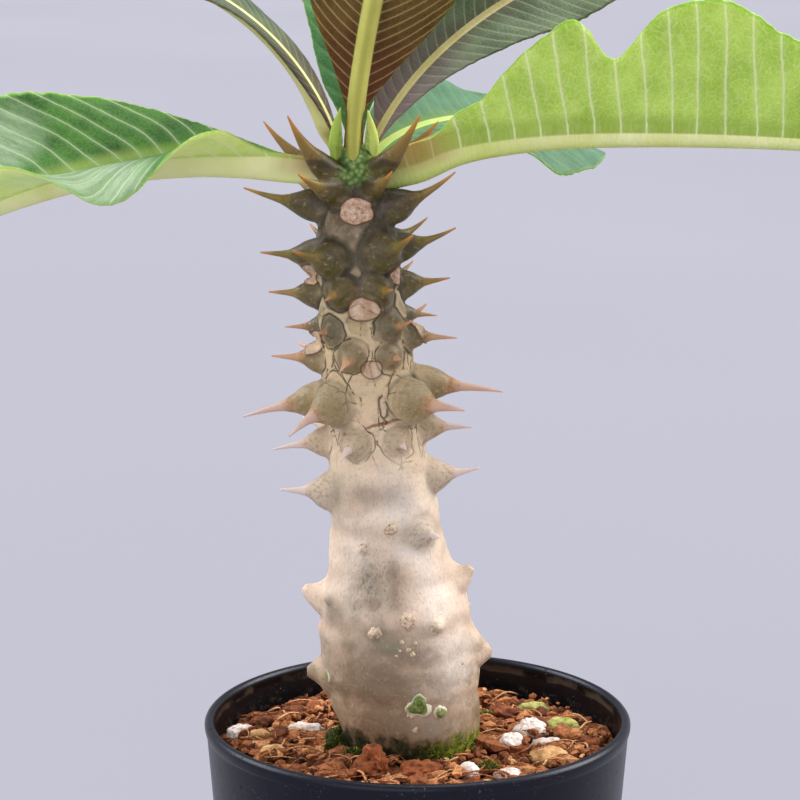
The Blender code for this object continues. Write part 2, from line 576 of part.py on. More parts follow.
def leaf_blade(name, leaf, finish):
    """A grid laid over the leaf's surface, split into triangles, then thickened downwards: thin at
    the margins and as deep as the keel along the midrib."""
    mesh = bpy.data.meshes.new(name)
    bm = bmesh.new()
    bmesh.ops.create_grid(bm, x_segments=leaf["rows"], y_segments=6, size=1)
    bm.to_mesh(mesh)
    bm.free()
    flat = np.empty(len(mesh.vertices) * 3)
    mesh.vertices.foreach_get("co", flat)
    flat = flat.reshape(-1, 3)
    s = np.clip((flat[:, 0] + 1) / 2, 0, 1)
    half_width = np.where(flat[:, 1] > 0, even_read(leaf["plus"][0], s), even_read(leaf["minus"][0], s))
    rib = np.minimum(MIDRIB_HALF_WIDTH / half_width, 0.4)
    column = np.rint(np.abs(flat[:, 1]) * 3).astype(int)
    t = np.choose(column, (np.zeros_like(rib), rib, 0.5 + 0.2 * rib, np.ones_like(rib)))
    points = leaf_points(leaf, s, t * np.sign(flat[:, 1]))
    mesh.vertices.foreach_set("co", (points * MM).ravel())
    mesh.update()
    made = new_object(name, mesh, part, finish)
    keel = made.vertex_groups.new(name="keel")
    deepest = max(leaf["keel"])
    depth = np.maximum(even_read(leaf["keel"], s), BLADE)
    share = np.clip((depth - BLADE) / (deepest - BLADE), 0, 1)
    for index in np.flatnonzero(column == 0):
        keel.add([int(index)], float(share[index]), "REPLACE")
    triangles = made.modifiers.new("triangles", "TRIANGULATE")
    triangles.quad_method = "SHORTEST_DIAGONAL"
    thick = made.modifiers.new("thickness", "SOLIDIFY")
    thick.thickness = deepest * MM
    thick.offset = -1
    thick.vertex_group = "keel"
    thick.thickness_vertex_group = BLADE / deepest
    apply_modifiers(made)
    return made


crown = bpy.data.collections.new("crown_clearance")
cutters.children.link(crown)
clearance = as_cutter(stem_body("crown_stem", crown, grow=GAP))
thorns = bpy.data.collections.new("crown_thorns")
cutters.children.link(thorns)
for number, spine in enumerate(spines):
    if spine[1] > 186:
        swell = CROWN_SWELL if spine[1] > CROWN_HEIGHT else HORN_SWELL
        horn(f"crown_spine_{number}", spine, thorns, swell, grow=GAP)
boolean(clearance, "UNION", thorns)
clear_collection(thorns)
for name, leaf in LEAVES.items():
    finish = material(name + "_green", LEAF_COLOURS[name], 0.5)
    blade = leaf_blade(name, leaf, finish)
    boolean(blade, "DIFFERENCE", clearance)
    keep_largest_piece(blade)
    shade_smooth(blade, 60)
clear_collection(crown)
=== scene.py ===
import json
import math

import bmesh
import bpy
import numpy as np
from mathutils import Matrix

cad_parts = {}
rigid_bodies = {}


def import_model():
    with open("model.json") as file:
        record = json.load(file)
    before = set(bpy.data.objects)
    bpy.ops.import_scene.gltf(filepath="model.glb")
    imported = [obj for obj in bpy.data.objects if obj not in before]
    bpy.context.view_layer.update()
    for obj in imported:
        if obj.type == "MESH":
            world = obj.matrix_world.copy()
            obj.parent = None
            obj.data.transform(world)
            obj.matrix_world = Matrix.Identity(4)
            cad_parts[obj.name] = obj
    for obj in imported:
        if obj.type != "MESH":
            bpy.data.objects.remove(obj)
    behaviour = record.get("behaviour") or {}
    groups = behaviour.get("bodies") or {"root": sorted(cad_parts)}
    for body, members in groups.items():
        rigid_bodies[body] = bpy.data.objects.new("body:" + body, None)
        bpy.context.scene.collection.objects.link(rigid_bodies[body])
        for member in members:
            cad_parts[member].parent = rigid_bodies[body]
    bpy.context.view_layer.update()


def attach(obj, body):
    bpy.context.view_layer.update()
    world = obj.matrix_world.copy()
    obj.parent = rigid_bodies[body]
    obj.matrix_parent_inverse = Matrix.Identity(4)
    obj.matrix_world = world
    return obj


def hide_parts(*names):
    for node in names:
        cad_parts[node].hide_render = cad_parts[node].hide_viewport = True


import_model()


# The studio. A camera stands half a metre in front and looks slightly down on a wide pale floor.
# Large soft lamps stand behind both of the plant's shoulders and over it, and a weaker one in front.
MM = 0.001
scene = bpy.context.scene
scene.view_settings.view_transform = "Standard"
lens = bpy.data.cameras.new("studio_camera")
lens.sensor_width = 36
lens.lens = 120
camera = bpy.data.objects.new("studio_camera", lens)
camera.location = (-0.0037, -0.540, 0.2606)
camera.rotation_euler = (math.radians(90 - 11.59), 0, 0)
scene.collection.objects.link(camera)
scene.camera = camera


def swatch(red, green, blue):
    """A colour off a paint card, 0 to 255 a channel, turned into the linear light of a shader."""
    return [((part / 255 + 0.055) / 1.055) ** 2.4 for part in (red, green, blue)] + [1.0]


class Finish:
    """A material while it is mixed. Most methods add nodes and return what comes out of them. The
    colour and the relief are those laid on so far."""

    def __init__(self, name, **sockets):
        self.material = bpy.data.materials.new(name)
        self.material.use_nodes = True
        self.tree = self.material.node_tree
        self.shader = self.tree.nodes["Principled BSDF"]
        for socket, value in sockets.items():
            self.put(self.shader.inputs[socket.replace("_", " ")], value)
        self.place = self.add("TexCoord", {}, "Object")
        self.colour = None
        self.normal = None

    def put(self, socket, value):
        """Links the socket when the value comes out of a node, and sets it otherwise."""
        if isinstance(value, bpy.types.NodeSocket):
            self.tree.links.new(value, socket)
        else:
            socket.default_value = value

    def add(self, kind, inputs, out=0, **settings):
        """A node with its settings, and its inputs by name or number. Returns one of its outputs."""
        made = self.tree.nodes.new("ShaderNode" + kind)
        for name, value in settings.items():
            setattr(made, name, value)
        for name, value in inputs.items():
            self.put(made.inputs[name], value)
        return made.outputs[out]

    def calc(self, operation, first, second=0.0, third=0.0):
        """One step of arithmetic, done by a node on up to three values."""
        return self.add("Math", {0: first, 1: second, 2: third}, operation=operation)

    def scaled(self, value, by, plus=0.0):
        """The value multiplied by one number, and another added to it."""
        return self.calc("MULTIPLY_ADD", value, by, plus)

    def times(self, *shares):
        """All the shares multiplied together."""
        total = shares[0]
        for share in shares[1:]:
            total = self.calc("MULTIPLY", total, share)
        return total

    def between(self, value, low, high, start=0.0, end=1.0):
        """Rises softly from start to end while the value goes from low to high, and stays there."""
        inputs = {"Value": value, "From Min": low, "From Max": high, "To Min": start, "To Max": end}
        return self.add("MapRange", inputs, interpolation_type="SMOOTHSTEP")

    def band(self, value, low, full, still_full, high):
        """Rises from 0 at low to 1 at full, and falls from still_full to 0 at high."""
        return self.times(self.between(value, low, full), self.between(value, high, still_full))

    def blend(self, share, first, second):
        """Goes from the first number to the second as the share goes from 0 to 1."""
        return self.add("Mix", {0: share, 2: first, 3: second})

    def noise(self, size, detail=3.0, rough=0.55, stretch=(1, 1, 1), place=None):
        """Cloudy noise with lumps of the given size in mm, longer along an axis with a small stretch."""
        moved = self.add("Mapping", {"Vector": place or self.place, "Scale": stretch})
        inputs = {"Vector": moved, "Scale": 1 / (size * MM), "Detail": detail, "Roughness": rough}
        return self.add("TexNoise", inputs)

    def ragged(self, value, depth, *noise):
        """The value made uneven by noise of these settings, by half the depth either way."""
        return self.calc("ADD", value, self.scaled(self.noise(*noise), depth, -depth / 2))

    def cells(self, size, feature="F1", stretch=(1, 1, 1)):
        """Cells of the given size in mm: the distance from each cell's middle or from its edge."""
        moved = self.add("Mapping", {"Vector": self.place, "Scale": stretch})
        inputs = {"Vector": moved, "Scale": 1 / (size * MM)}
        return self.add("TexVoronoi", inputs, "Distance", feature=feature)

    def ramp(self, value, *stops):
        """A run of colours: each stop is a place and its colour, with an even blend between them."""
        made = self.add("ValToRGB", {"Fac": value})
        bar = made.node.color_ramp
        while len(bar.elements) < len(stops):
            bar.elements.new(0.5)
        for element, (place, colour) in zip(bar.elements, stops):
            element.position = place
            element.color = swatch(*colour)
        return made

    def mix(self, share, under, over, way="MIX"):
        """Lays one colour over another by the share. A colour is a swatch or comes out of a node."""
        inputs = {0: share, 6: swatch(*under) if isinstance(under, tuple) else under}
        inputs[7] = swatch(*over) if isinstance(over, tuple) else over
        return self.add("Mix", inputs, 2, data_type="RGBA", blend_type=way)

    def coat(self, colour, *shares):
        """Lays a colour over what is there, by the product of the shares."""
        self.colour = self.mix(self.times(*shares), self.colour, colour)

    def mottle(self, colour, share, low, high, *noise):
        """A coat in patches: none where noise of these settings is under low, all of it over high."""
        self.coat(colour, self.between(self.noise(*noise), low, high), share)

    def own(self, title):
        """The three numbers that the piece keeps under this title at each of its points."""
        kept = self.add("Attribute", {}, "Vector", attribute_name=title)
        return self.add("SeparateXYZ", {0: kept}).node.outputs

    def height(self):
        """Height over the floor in mm."""
        return self.scaled(self.add("SeparateXYZ", {0: self.place}).node.outputs[2], 1000)

    def relief(self, height, depth):
        """Fine relief of the given depth in mm, on top of any that is there already."""
        inputs = {"Height": height, "Distance": depth * MM, "Strength": 1.0}
        if self.normal is not None:
            inputs["Normal"] = self.normal
        self.normal = self.add("Bump", inputs)

    def done(self, roughness):
        """Joins the colour, the roughness and the relief to the shader. Returns the material."""
        for socket, value in (("Base Color", self.colour), ("Roughness", roughness), ("Normal", self.normal)):
            if value is not None:
                self.put(self.shader.inputs[socket], value)
        return self.material


def keep(mesh, title, numbers):
    """The mesh keeps three numbers a point under this title, or one number three times over."""
    numbers = np.asarray(numbers, np.float32)
    if numbers.ndim == 1:
        numbers = np.repeat(numbers[:, None], 3, 1)
    mesh.attributes.new(title, "FLOAT_VECTOR", "POINT").data.foreach_set("vector", numbers.ravel())


def new_piece(name, points, faces, finish, **kept):
    """A piece made of points in mm, turned to face outwards, with the numbers that it keeps."""
    mesh = bpy.data.meshes.new(name)
    mesh.from_pydata((np.asarray(points) * MM).tolist(), [], faces)
    for title, numbers in kept.items():
        keep(mesh, title, numbers)
    mesh.calc_loop_triangles()
    corners = np.empty(len(mesh.loop_triangles) * 3, int)
    mesh.loop_triangles.foreach_get("vertices", corners)
    a, b, c = np.asarray(points)[corners.reshape(-1, 3)].transpose(1, 0, 2)
    if (a * np.cross(b, c)).sum() < 0:
        mesh.flip_normals()
    mesh.shade_smooth()
    mesh.materials.append(finish)
    made = bpy.data.objects.new(name, mesh)
    scene.collection.objects.link(made)
    return made


def soft_lamp(name, place, power, wide, colour):
    """A lamp so far away that it lights the whole floor alike. It shines from the given side of the
    plant, and is as wide in the sky as the angle in degrees, so its shadows are soft."""
    data = bpy.data.lights.new(name, "SUN")
    data.energy = power
    data.angle = math.radians(wide)
    data.color = colour
    made = bpy.data.objects.new(name, data)
    made.rotation_euler = (
        math.atan2(math.hypot(place[0], place[1]), place[2]), 0, math.atan2(place[0], -place[1]))
    scene.collection.objects.link(made)


soft_lamp("left_lamp", (-1.0, 0.30, 0.80), 2.5, 35, (0.97, 0.97, 1.0))
soft_lamp("right_lamp", (1.0, 0.25, 0.70), 3.4, 35, (1.0, 0.96, 0.93))
soft_lamp("front_lamp", (-0.35, -1.0, 0.32), 1.25, 60, (0.98, 0.98, 1.0))
soft_lamp("top_lamp", (0.1, 0.20, 1.0), 2.0, 45, (1.0, 1.0, 1.0))
air = bpy.data.worlds.new("studio_air")
air.use_nodes = True
sky = air.node_tree.nodes["Background"].inputs
sky["Color"].default_value = (0.70, 0.71, 0.79, 1)
sky["Strength"].default_value = 0.62
scene.world = air

FLOOR_RADIUS = 14000.0
FLOOR_SIDES = 64
floor_turn = np.linspace(0, math.tau, FLOOR_SIDES + 1)[:-1]
floor_ring = np.stack([np.cos(floor_turn), np.sin(floor_turn), 0 * floor_turn], 1)
floor_points = np.concatenate([floor_ring, FLOOR_RADIUS * floor_ring]) - (0, 0, 0.2)
floor_faces = [[k, (k + 1) % FLOOR_SIDES, (k + 1) % FLOOR_SIDES + FLOOR_SIDES, k + FLOOR_SIDES]
               for k in range(FLOOR_SIDES)] + [list(range(FLOOR_SIDES))]
paper = Finish("studio_paper")
paper.colour = paper.ramp(paper.noise(900, 2), (0.3, (131, 131, 141)), (0.7, (135, 135, 145)))
floor_piece = new_piece("studio_floor", floor_points, floor_faces, paper.done(0.9))


# The pot is one thin moulded shell of dark slate plastic with a rolled bead round its rim and a
# ring of drain holes in its base. Watering has left chalky lines inside the rim and dust on it.
RIM_RADIUS = 45.0
POT_HEIGHT = 82.0
TAPER = math.tan(math.radians(4.5))
WALL = 1.5
POT_FLOOR = 3.7
POT_SIDES = 256
DRAIN_RING = 19.5
DRAIN_RADIUS = 3.5
DRAIN_HOLES = 6


def unit(vectors):
    """Each vector divided by its length."""
    return vectors / np.linalg.norm(vectors, axis=-1, keepdims=True)


def rounded(corners, reach, steps=4):
    """A line with its corners eased: each is a quadratic curve that starts and ends at the given
    distance from it, or at under half of the side's length."""
    corners = np.array(corners, float)
    eased = [corners[:1]]
    u = np.linspace(0, 1, steps)[:, None]
    for before, corner, after in zip(corners, corners[1:], corners[2:]):
        back, on = before - corner, after - corner
        start = corner + back * min(reach / np.linalg.norm(back), 0.45)
        end = corner + on * min(reach / np.linalg.norm(on), 0.45)
        eased.append((1 - u) ** 2 * start + 2 * u * (1 - u) * corner + u * u * end)
    return np.concatenate(eased + [corners[-1:]])


def skin(rings):
    """A closed skin over rings of points. Quads join neighbouring rings, and a fan of triangles
    closes each end ring round its middle."""
    count, around = rings.shape[:2]
    here = np.arange(around)
    after = np.roll(here, -1)
    first = np.arange(count - 1)[:, None] * around
    quads = np.stack([first + here, first + after, first + around + after, first + around + here], -1)
    last = (count - 1) * around
    low = np.stack([after, here, np.full(around, count * around)], -1)
    high = np.stack([last + here, last + after, np.full(around, count * around + 1)], -1)
    points = np.concatenate([rings.reshape(-1, 3), rings[:1].mean(1), rings[-1:].mean(1)])
    return points, quads.reshape(-1, 4).tolist() + low.tolist() + high.tolist()


def turned(profile, sides):
    """The profile's radius and height carried round the Z axis: (r cos a, r sin a, z)."""
    angle = np.linspace(0, math.tau, sides + 1)[:-1]
    radius, height = profile[:, :1], profile[:, 1:]
    return np.stack([radius * np.cos(angle), radius * np.sin(angle), height + 0 * angle], -1)


def wall_radius(height):
    """The wall's outer radius: 0.4 mm less than the rim's 2.3 mm under its top, and from there down
    it falls by the taper with each mm."""
    return RIM_RADIUS - 0.4 - (POT_HEIGHT - 2.3 - height) * TAPER


inner_foot = wall_radius(POT_FLOOR) - WALL
pot_line = rounded([
    (0.4, 0), (12.2, 0), (13.0, 1.5), (26.0, 1.5), (26.8, 0), (wall_radius(0) - 0.3, 0),
    (wall_radius(20), 20), (wall_radius(40), 40), (wall_radius(60), 60),
    (wall_radius(79.0), 79.0), (RIM_RADIUS - 0.25, 79.3), (RIM_RADIUS, 80.3), (RIM_RADIUS, 81.2),
    (RIM_RADIUS - 0.7, 82.0), (RIM_RADIUS - 1.6, 82.0), (RIM_RADIUS - 2.3, 81.0),
    (wall_radius(79.6) - WALL, 79.6), (wall_radius(60) - WALL, 60), (wall_radius(40) - WALL, 40),
    (wall_radius(20) - WALL, 20), (inner_foot, POT_FLOOR), (0.4, POT_FLOOR),
], 0.7)
pot_points, pot_faces = skin(turned(pot_line, POT_SIDES))

plastic = Finish("slate_plastic", Specular_IOR_Level=0.28, Specular_Tint=(0.78, 0.84, 1.0, 1.0))
# A point is inside when it lies nearer the axis than the middle of the leaning wall
MID_WALL = 43.8
from_axis = plastic.add("VectorMath", {0: plastic.place, 1: (1, 1, 0)}, operation="MULTIPLY")
from_axis = plastic.add("VectorMath", {0: from_axis}, "Value", operation="LENGTH")
height = plastic.height()
taken_in = plastic.scaled(height, -TAPER * MM, POT_HEIGHT * TAPER * MM)
inside = plastic.calc("LESS_THAN", plastic.calc("ADD", from_axis, taken_in), MID_WALL * MM)
plastic.colour = plastic.ramp(plastic.noise(14, 4), (0.3, (10, 10, 18)), (0.7, (17, 17, 28)))
# Painted shade: the inside of the pot is painted darker than the same plastic outside
plastic.coat((6, 5, 6), inside, 0.8)
dusty = plastic.scaled(plastic.between(plastic.noise(7, 3), 0.42, 0.62), 0.55)
plastic.mottle((150, 146, 148), dusty, 0.66, 0.74, 0.45, 2)
wavy = plastic.scaled(plastic.noise(6, 4), 2.4, height)
patchy = plastic.between(plastic.noise(9, 4), 0.44, 0.56)
chalk = plastic.times(plastic.band(wavy, 80.0, 80.6, 81.3, 82.2), inside, patchy, 0.12)
splashed = plastic.between(plastic.noise(1.6, 4), 0.5, 0.64)
tide = plastic.times(plastic.band(wavy, 74.5, 76.5, 77.0, 79.0), splashed, inside, 0.05)
stain = plastic.calc("MAXIMUM", chalk, tide)
plastic.coat((178, 156, 132), stain)
scuff = plastic.between(plastic.noise(1.4, 5, 0.55, (0.3, 1.6, 1)), 0.62, 0.72)
plastic.relief(plastic.noise(0.7, 3), 0.02)
slate_plastic = plastic.done(plastic.blend(plastic.calc("MAXIMUM", stain, scuff), 0.34, 0.62))
pot = new_piece("nursery_pot", pot_points, pot_faces, slate_plastic)

drill_rings = turned(np.array([[DRAIN_RADIUS, -4.0], [DRAIN_RADIUS, 8.0]]), 40)
drill_spots = turned(np.array([[DRAIN_RING, 0.0]]), DRAIN_HOLES)[0]
drills = bpy.data.collections.new("drills")
for number, spot in enumerate(drill_spots):
    drill = new_piece(f"drill_{number}", *skin(drill_rings + spot), slate_plastic)
    scene.collection.objects.unlink(drill)
    drills.objects.link(drill)
cut = pot.modifiers.new("drain_holes", "BOOLEAN")
cut.operand_type = "COLLECTION"
cut.collection = drills
cut.solver = "EXACT"


def apply_modifiers(piece):
    """The piece keeps the mesh that its modifiers give, and loses the modifiers."""
    bpy.context.view_layer.update()
    shaped = piece.evaluated_get(bpy.context.evaluated_depsgraph_get())
    mesh = bpy.data.meshes.new_from_object(shaped)
    piece.modifiers.clear()
    piece.data = mesh


apply_modifiers(pot)
for drill in list(drills.objects):
    bpy.data.objects.remove(drill, do_unlink=True)
bpy.data.collections.remove(drills)
pot.data.set_sharp_from_angle(angle=math.radians(60))
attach(pot, "root")
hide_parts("pot")


# The potting mix is a loose bed of bark crumbs and fibres that fills the pot to a few millimetres
# under the rim. Pumice, stones and lumps of bark lie half sunk in it, some of them mossy.
SOIL_LEVEL = 75.4
SOIL_SLOPE = 0.022
SOIL_GAP = 0.35
SOIL_EDGE = wall_radius(SOIL_LEVEL) - WALL - SOIL_GAP
BED_RINGS = 90
BED_SIDES = 360
STEM_FOOT_X = -1.2
STEM_FOOT_RADIUS = 14.0


def cloud(places, size, seed):
    """Smooth random numbers from -1 to 1: a random number stands at each corner of cubes of the
    given size, and a point in a cube blends its eight corners with a soft step along each axis."""
    table = np.random.default_rng(seed).uniform(-1, 1, 4096)
    cell = np.floor(places / size).astype(int)
    part = places / size - cell
    part = part * part * (3 - 2 * part)
    total = np.zeros(places.shape[:-1])
    for corner in range(8):
        step = np.array([corner & 1, corner >> 1 & 1, corner >> 2])
        spot = cell + step
        pick = (spot[..., 0] * 73856093 ^ spot[..., 1] * 19349663 ^ spot[..., 2] * 83492791) % 4096
        total += table[pick] * np.where(step, part, 1 - part).prod(-1)
    return total


def soil_top(x, y):
    """Height of the bed: it falls towards the back and has low crossing waves."""
    waves = 0.5 * np.sin(0.31 * x + 0.9) * np.cos(0.27 * y) + 0.35 * np.sin(0.55 * y + 0.2 * x)
    return SOIL_LEVEL - SOIL_SLOPE * y + waves


def soil_bed():
    """The bed's top is a polar net at the bed's height with three sizes of crumbs added to it, its
    wall follows the pot's inside, and its foot is flat."""
    foot = wall_radius(5.2) - WALL - SOIL_GAP
    reach = np.append(np.linspace(0.3, SOIL_EDGE, BED_RINGS), (SOIL_EDGE, foot, foot - 1.4, 0.3))
    rings = turned(np.stack([reach, 0 * reach], 1), BED_SIDES)
    flat = rings[:BED_RINGS] * (1, 1, 0)
    crumbs = 0.7 * cloud(flat, 5.0, 1) + 0.75 * cloud(flat, 2.4, 2) + 0.4 * cloud(flat, 1.1, 3)
    rings[:BED_RINGS, :, 2] = soil_top(flat[..., 0], flat[..., 1]) + crumbs - 0.5
    rings[BED_RINGS:, :, 2] = np.array([73.0, 5.2, 4.0, 4.0])[:, None]
    return skin(rings)


# Each bit of bark has its own tone, darker in its pores and paler on its worn edges
crumb = Finish("bark_brown", Specular_IOR_Level=0.25)
crumb_grain = crumb.scaled(crumb.noise(1.1, 5, 0.65), 0.45)
crumb.colour = crumb.ramp(
    crumb.scaled(crumb.own("tone")[0], 0.62, crumb_grain),
    (0.15, (34, 16, 9)), (0.34, (98, 52, 29)), (0.52, (158, 94, 56)), (0.70, (204, 140, 90)),
    (0.88, (234, 188, 140)))
crumb.mottle((38, 20, 12), 0.75, 0.50, 0.36, 0.6, 3, 0.7)
crumb.coat((222, 172, 120), crumb.between(crumb.cells(1.9), 0.16, 0.10), 0.35)
crumb.relief(crumb.noise(0.6, 4, 0.7), 0.22)
bark_brown = crumb.done(0.9)
bed_points, bed_faces = soil_bed()
bed_tone = np.clip(0.25 + 0.25 * cloud(bed_points, 3.0, 4), 0, 1)
bed = new_piece("soil_bed", bed_points, bed_faces, bark_brown, tone=bed_tone)
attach(bed, "root")
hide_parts("soil")


def ball(fineness):
    """The points and triangles of a ball of radius 1 made of near-equal triangles."""
    bm = bmesh.new()
    bmesh.ops.create_icosphere(bm, subdivisions=fineness, radius=1)
    points = np.array([vert.co[:] for vert in bm.verts])
    faces = np.array([[vert.index for vert in face.verts] for face in bm.faces])
    bm.free()
    return points, faces


def laid(points, spots, spins, tilts):
    """Copies of shapes, one to a spot: each is tilted round its own X axis, spun round Z, and moved."""
    cos_t, sin_t = np.cos(tilts)[:, None], np.sin(tilts)[:, None]
    cos_s, sin_s = np.cos(spins)[:, None], np.sin(spins)[:, None]
    x, y, z = np.moveaxis(points, -1, 0)
    y, z = y * cos_t - z * sin_t, y * sin_t + z * cos_t
    x, y = x * cos_s - y * sin_s, x * sin_s + y * cos_s
    return np.stack([x, y, z], -1) + spots[:, None]


def together(shapes, faces):
    """Many copies of one shape as one list of points and one of faces."""
    count, size = shapes.shape[:2]
    shifted = faces[None] + (np.arange(count) * size)[:, None, None]
    return shapes.reshape(-1, 3), shifted.reshape(-1, faces.shape[1]).tolist()


def strewn(draw, count, inner, outer):
    """Random spots on the bed between the stem and the wall, even over the area."""
    turn = draw.uniform(0, math.tau, count)
    reach = np.sqrt(draw.uniform(inner ** 2, outer ** 2, count))
    x, y = reach * np.cos(turn) + STEM_FOOT_X, reach * np.sin(turn)
    kept = np.hypot(x, y) < outer - 1.5
    return x[kept], y[kept]


CRUMBS = 1500
crumb_draw = np.random.default_rng(21)
crumb_x, crumb_y = strewn(crumb_draw, CRUMBS, STEM_FOOT_RADIUS - 1, SOIL_EDGE)
count = len(crumb_x)
crumb_ball, crumb_faces = ball(1)
room = (SOIL_EDGE - 0.3 - np.hypot(crumb_x, crumb_y)) / 2.4
crumb_size = np.minimum(crumb_draw.gamma(4.0, 0.26, count), room)[:, None]
crumb_size = crumb_size * crumb_draw.uniform((0.9, 0.6, 0.4), (1.9, 1.2, 0.8), (count, 3))
crumb_shapes = crumb_ball * crumb_draw.uniform(0.7, 1.25, (count, len(crumb_ball), 1)) * crumb_size[:, None]
crumb_lift = crumb_draw.uniform(-0.1, 1.3, count)
crumb_spots = np.stack([crumb_x, crumb_y, soil_top(crumb_x, crumb_y) + crumb_lift], 1)
crumb_spins = crumb_draw.uniform(0, math.tau, count)
crumb_shapes = laid(crumb_shapes, crumb_spots, crumb_spins, crumb_draw.normal(0, 0.4, count))
crumb_points, crumb_mesh_faces = together(crumb_shapes, crumb_faces)
crumb_tone = np.repeat(np.clip(crumb_draw.normal(0.5, 0.2, count), 0.05, 1), len(crumb_ball))
crumbs = new_piece("bark_crumbs", crumb_points, crumb_mesh_faces, bark_brown, tone=crumb_tone)
crumbs.data.set_sharp_from_angle(angle=math.radians(35))
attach(crumbs, "root")
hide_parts("soil")

FIBRES = 210
fibre_draw = np.random.default_rng(22)
fibre_x, fibre_y = strewn(fibre_draw, FIBRES, STEM_FOOT_RADIUS + 1, SOIL_EDGE - 3)
count = len(fibre_x)
FIBRE_STEPS = 9
along = np.linspace(-1, 1, FIBRE_STEPS)
fibre_length = fibre_draw.uniform(1.5, 5.0, count)[:, None]
fibre_bend = fibre_draw.normal(0, 0.9, (count, 1))
fibre_rise = fibre_draw.uniform(0.2, 1.5, (count, 1))
fibre_line = np.stack([
    fibre_length * along, fibre_bend * along ** 2 + 0.2 * np.sin(5 * along + fibre_bend),
    fibre_rise * (1 - along ** 2)], -1)
fibre_thick = fibre_draw.uniform(0.10, 0.32, (count, 1)) * (1 - 0.7 * along ** 4)
triangle = np.array([0, 1, 2]) * math.tau / 3
ring = np.stack([0 * triangle, np.cos(triangle), np.sin(triangle)], -1)
fibre_shapes = fibre_line[:, :, None] + fibre_thick[:, :, None, None] * ring
tips = np.stack([fibre_shapes[:, 0].mean(1), fibre_shapes[:, -1].mean(1)], 1)
fibre_shapes = np.concatenate([fibre_shapes.reshape(count, -1, 3), tips], 1)
fibre_spots = np.stack([fibre_x, fibre_y, soil_top(fibre_x, fibre_y) + 0.9], 1)
fibre_spins = fibre_draw.uniform(0, math.tau, count)
fibre_shapes = laid(fibre_shapes, fibre_spots, fibre_spins, fibre_draw.normal(0, 0.2, count))
one_fibre = skin(np.zeros((FIBRE_STEPS, 3, 3)))[1]
fibre_quads = np.array([face for face in one_fibre if len(face) == 4])
fibre_fans = np.array([face for face in one_fibre if len(face) == 3])
fibre_points, fibre_sides = together(fibre_shapes, fibre_quads)
fibre_faces = fibre_sides + together(fibre_shapes, fibre_fans)[1]
fibre_tone = np.repeat(fibre_draw.uniform(0.45, 1.0, count), fibre_shapes.shape[1])
fibres = new_piece("bark_fibres", fibre_points, fibre_faces, bark_brown, tone=fibre_tone)
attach(fibres, "root")
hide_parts("soil")

# Middle x and y, half-length, half-width, half-height, turn in degrees, how proud it lies
PUMICE = (
    (-38.0, 3.5, 3.4, 2.4, 2.2, 60, 1.2), (-23.9, 8.0, 4.2, 2.0, 2.0, 5, 1.0),
    (10.5, -20.5, 2.9, 2.4, 2.2, 80, 1.2), (19.8, -3.4, 3.2, 2.4, 2.4, 70, 1.4),
    (24.2, 5.8, 3.5, 3.0, 2.8, 35, 1.6), (27.0, -1.2, 3.4, 1.8, 1.4, 20, 1.0),
    (18.8, -22.5, 3.4, 2.2, 1.4, 160, 0.8), (10.0, 30.5, 3.6, 2.8, 2.2, 60, 1.0),
    (0.5, -33.0, 3.6, 2.6, 1.8, 45, 0.8),
)
TAN_STONES = (
    (-33.5, 2.5, 2.6, 2.0, 1.8, 30, 0.8), (-30.0, -9.0, 3.0, 2.2, 1.8, 20, 0.8),
    (-17.5, -19.0, 3.8, 2.6, 2.0, 150, 0.8), (27.2, -12.0, 4.6, 3.4, 2.8, 35, 1.6),
    (-15.0, 30.0, 4.0, 2.8, 2.2, 100, 0.8), (14.0, -31.0, 3.2, 2.6, 1.8, 90, 0.8),
)
MOSSY_STONES = (
    (25.6, 21.5, 3.8, 2.8, 2.2, 10, 1.2), (31.6, 8.4, 4.2, 3.2, 2.6, 150, 1.6),
)
BARK_LUMPS = (
    (-34.5, 13.0, 4.2, 3.0, 2.2, 70, 0.6), (-27.5, 21.0, 4.5, 3.2, 2.4, 40, 0.6),
    (-9.4, -20.6, 3.9, 3.2, 4.4, 70, 4.2), (0.6, -22.6, 4.4, 3.2, 2.6, 15, 1.2),
    (36.0, -2.2, 3.4, 3.0, 2.2, 80, 0.8), (18.6, 18.8, 3.6, 3.0, 2.2, 120, 1.0),
    (-25.0, -19.5, 3.8, 2.6, 1.8, 130, 0.6), (-3.0, 27.0, 4.2, 3.0, 2.2, 15, 0.8),
    (-12.5, -32.0, 3.6, 2.4, 1.8, 20, 0.8),
)


def rough_lumps(places, seed, facet, pits):
    """Balls stretched to size: the skin moves in and out by broad facets and by small pits."""
    points, faces = ball(5)
    table = np.array(places)
    shift = np.arange(len(table))[:, None, None] * 17.0
    shapes = points * table[:, None, 2:5]
    swell = 1 + facet * cloud(points * 1.6 + shift, 1.0, seed)
    swell += 0.5 * facet * cloud(points * 3.5 + shift, 1.0, seed + 1)
    pitted = pits * np.minimum(cloud(shapes + shift, 0.75, seed + 2), 0)
    shapes = shapes * swell[..., None] + unit(shapes) * pitted[..., None]
    lift = soil_top(table[:, 0], table[:, 1]) + table[:, 6] - table[:, 4] * 0.35
    spots = np.stack([table[:, 0], table[:, 1], lift], 1)
    return together(laid(shapes, spots, np.radians(table[:, 5]), 0 * lift), faces)


def stone_finish(name, light, dark, grime, pit):
    """Stone or bark: two tones of its own, dark pits, and grime or moss gathered low on it."""
    stone = Finish(name, Specular_IOR_Level=0.3)
    stone.colour = stone.ramp(stone.noise(2.2, 5, 0.65), (0.32, dark), (0.62, light))
    stone.mottle(grime, 0.6, 0.44, 0.34, pit, 3, 0.7)
    uneven = stone.scaled(stone.noise(1.5, 3), 3, stone.height())
    stone.coat(grime, stone.between(uneven, 79.5, 77.0), 0.7)
    stone.relief(stone.noise(pit, 4, 0.7), 0.2)
    return stone.done(0.85)


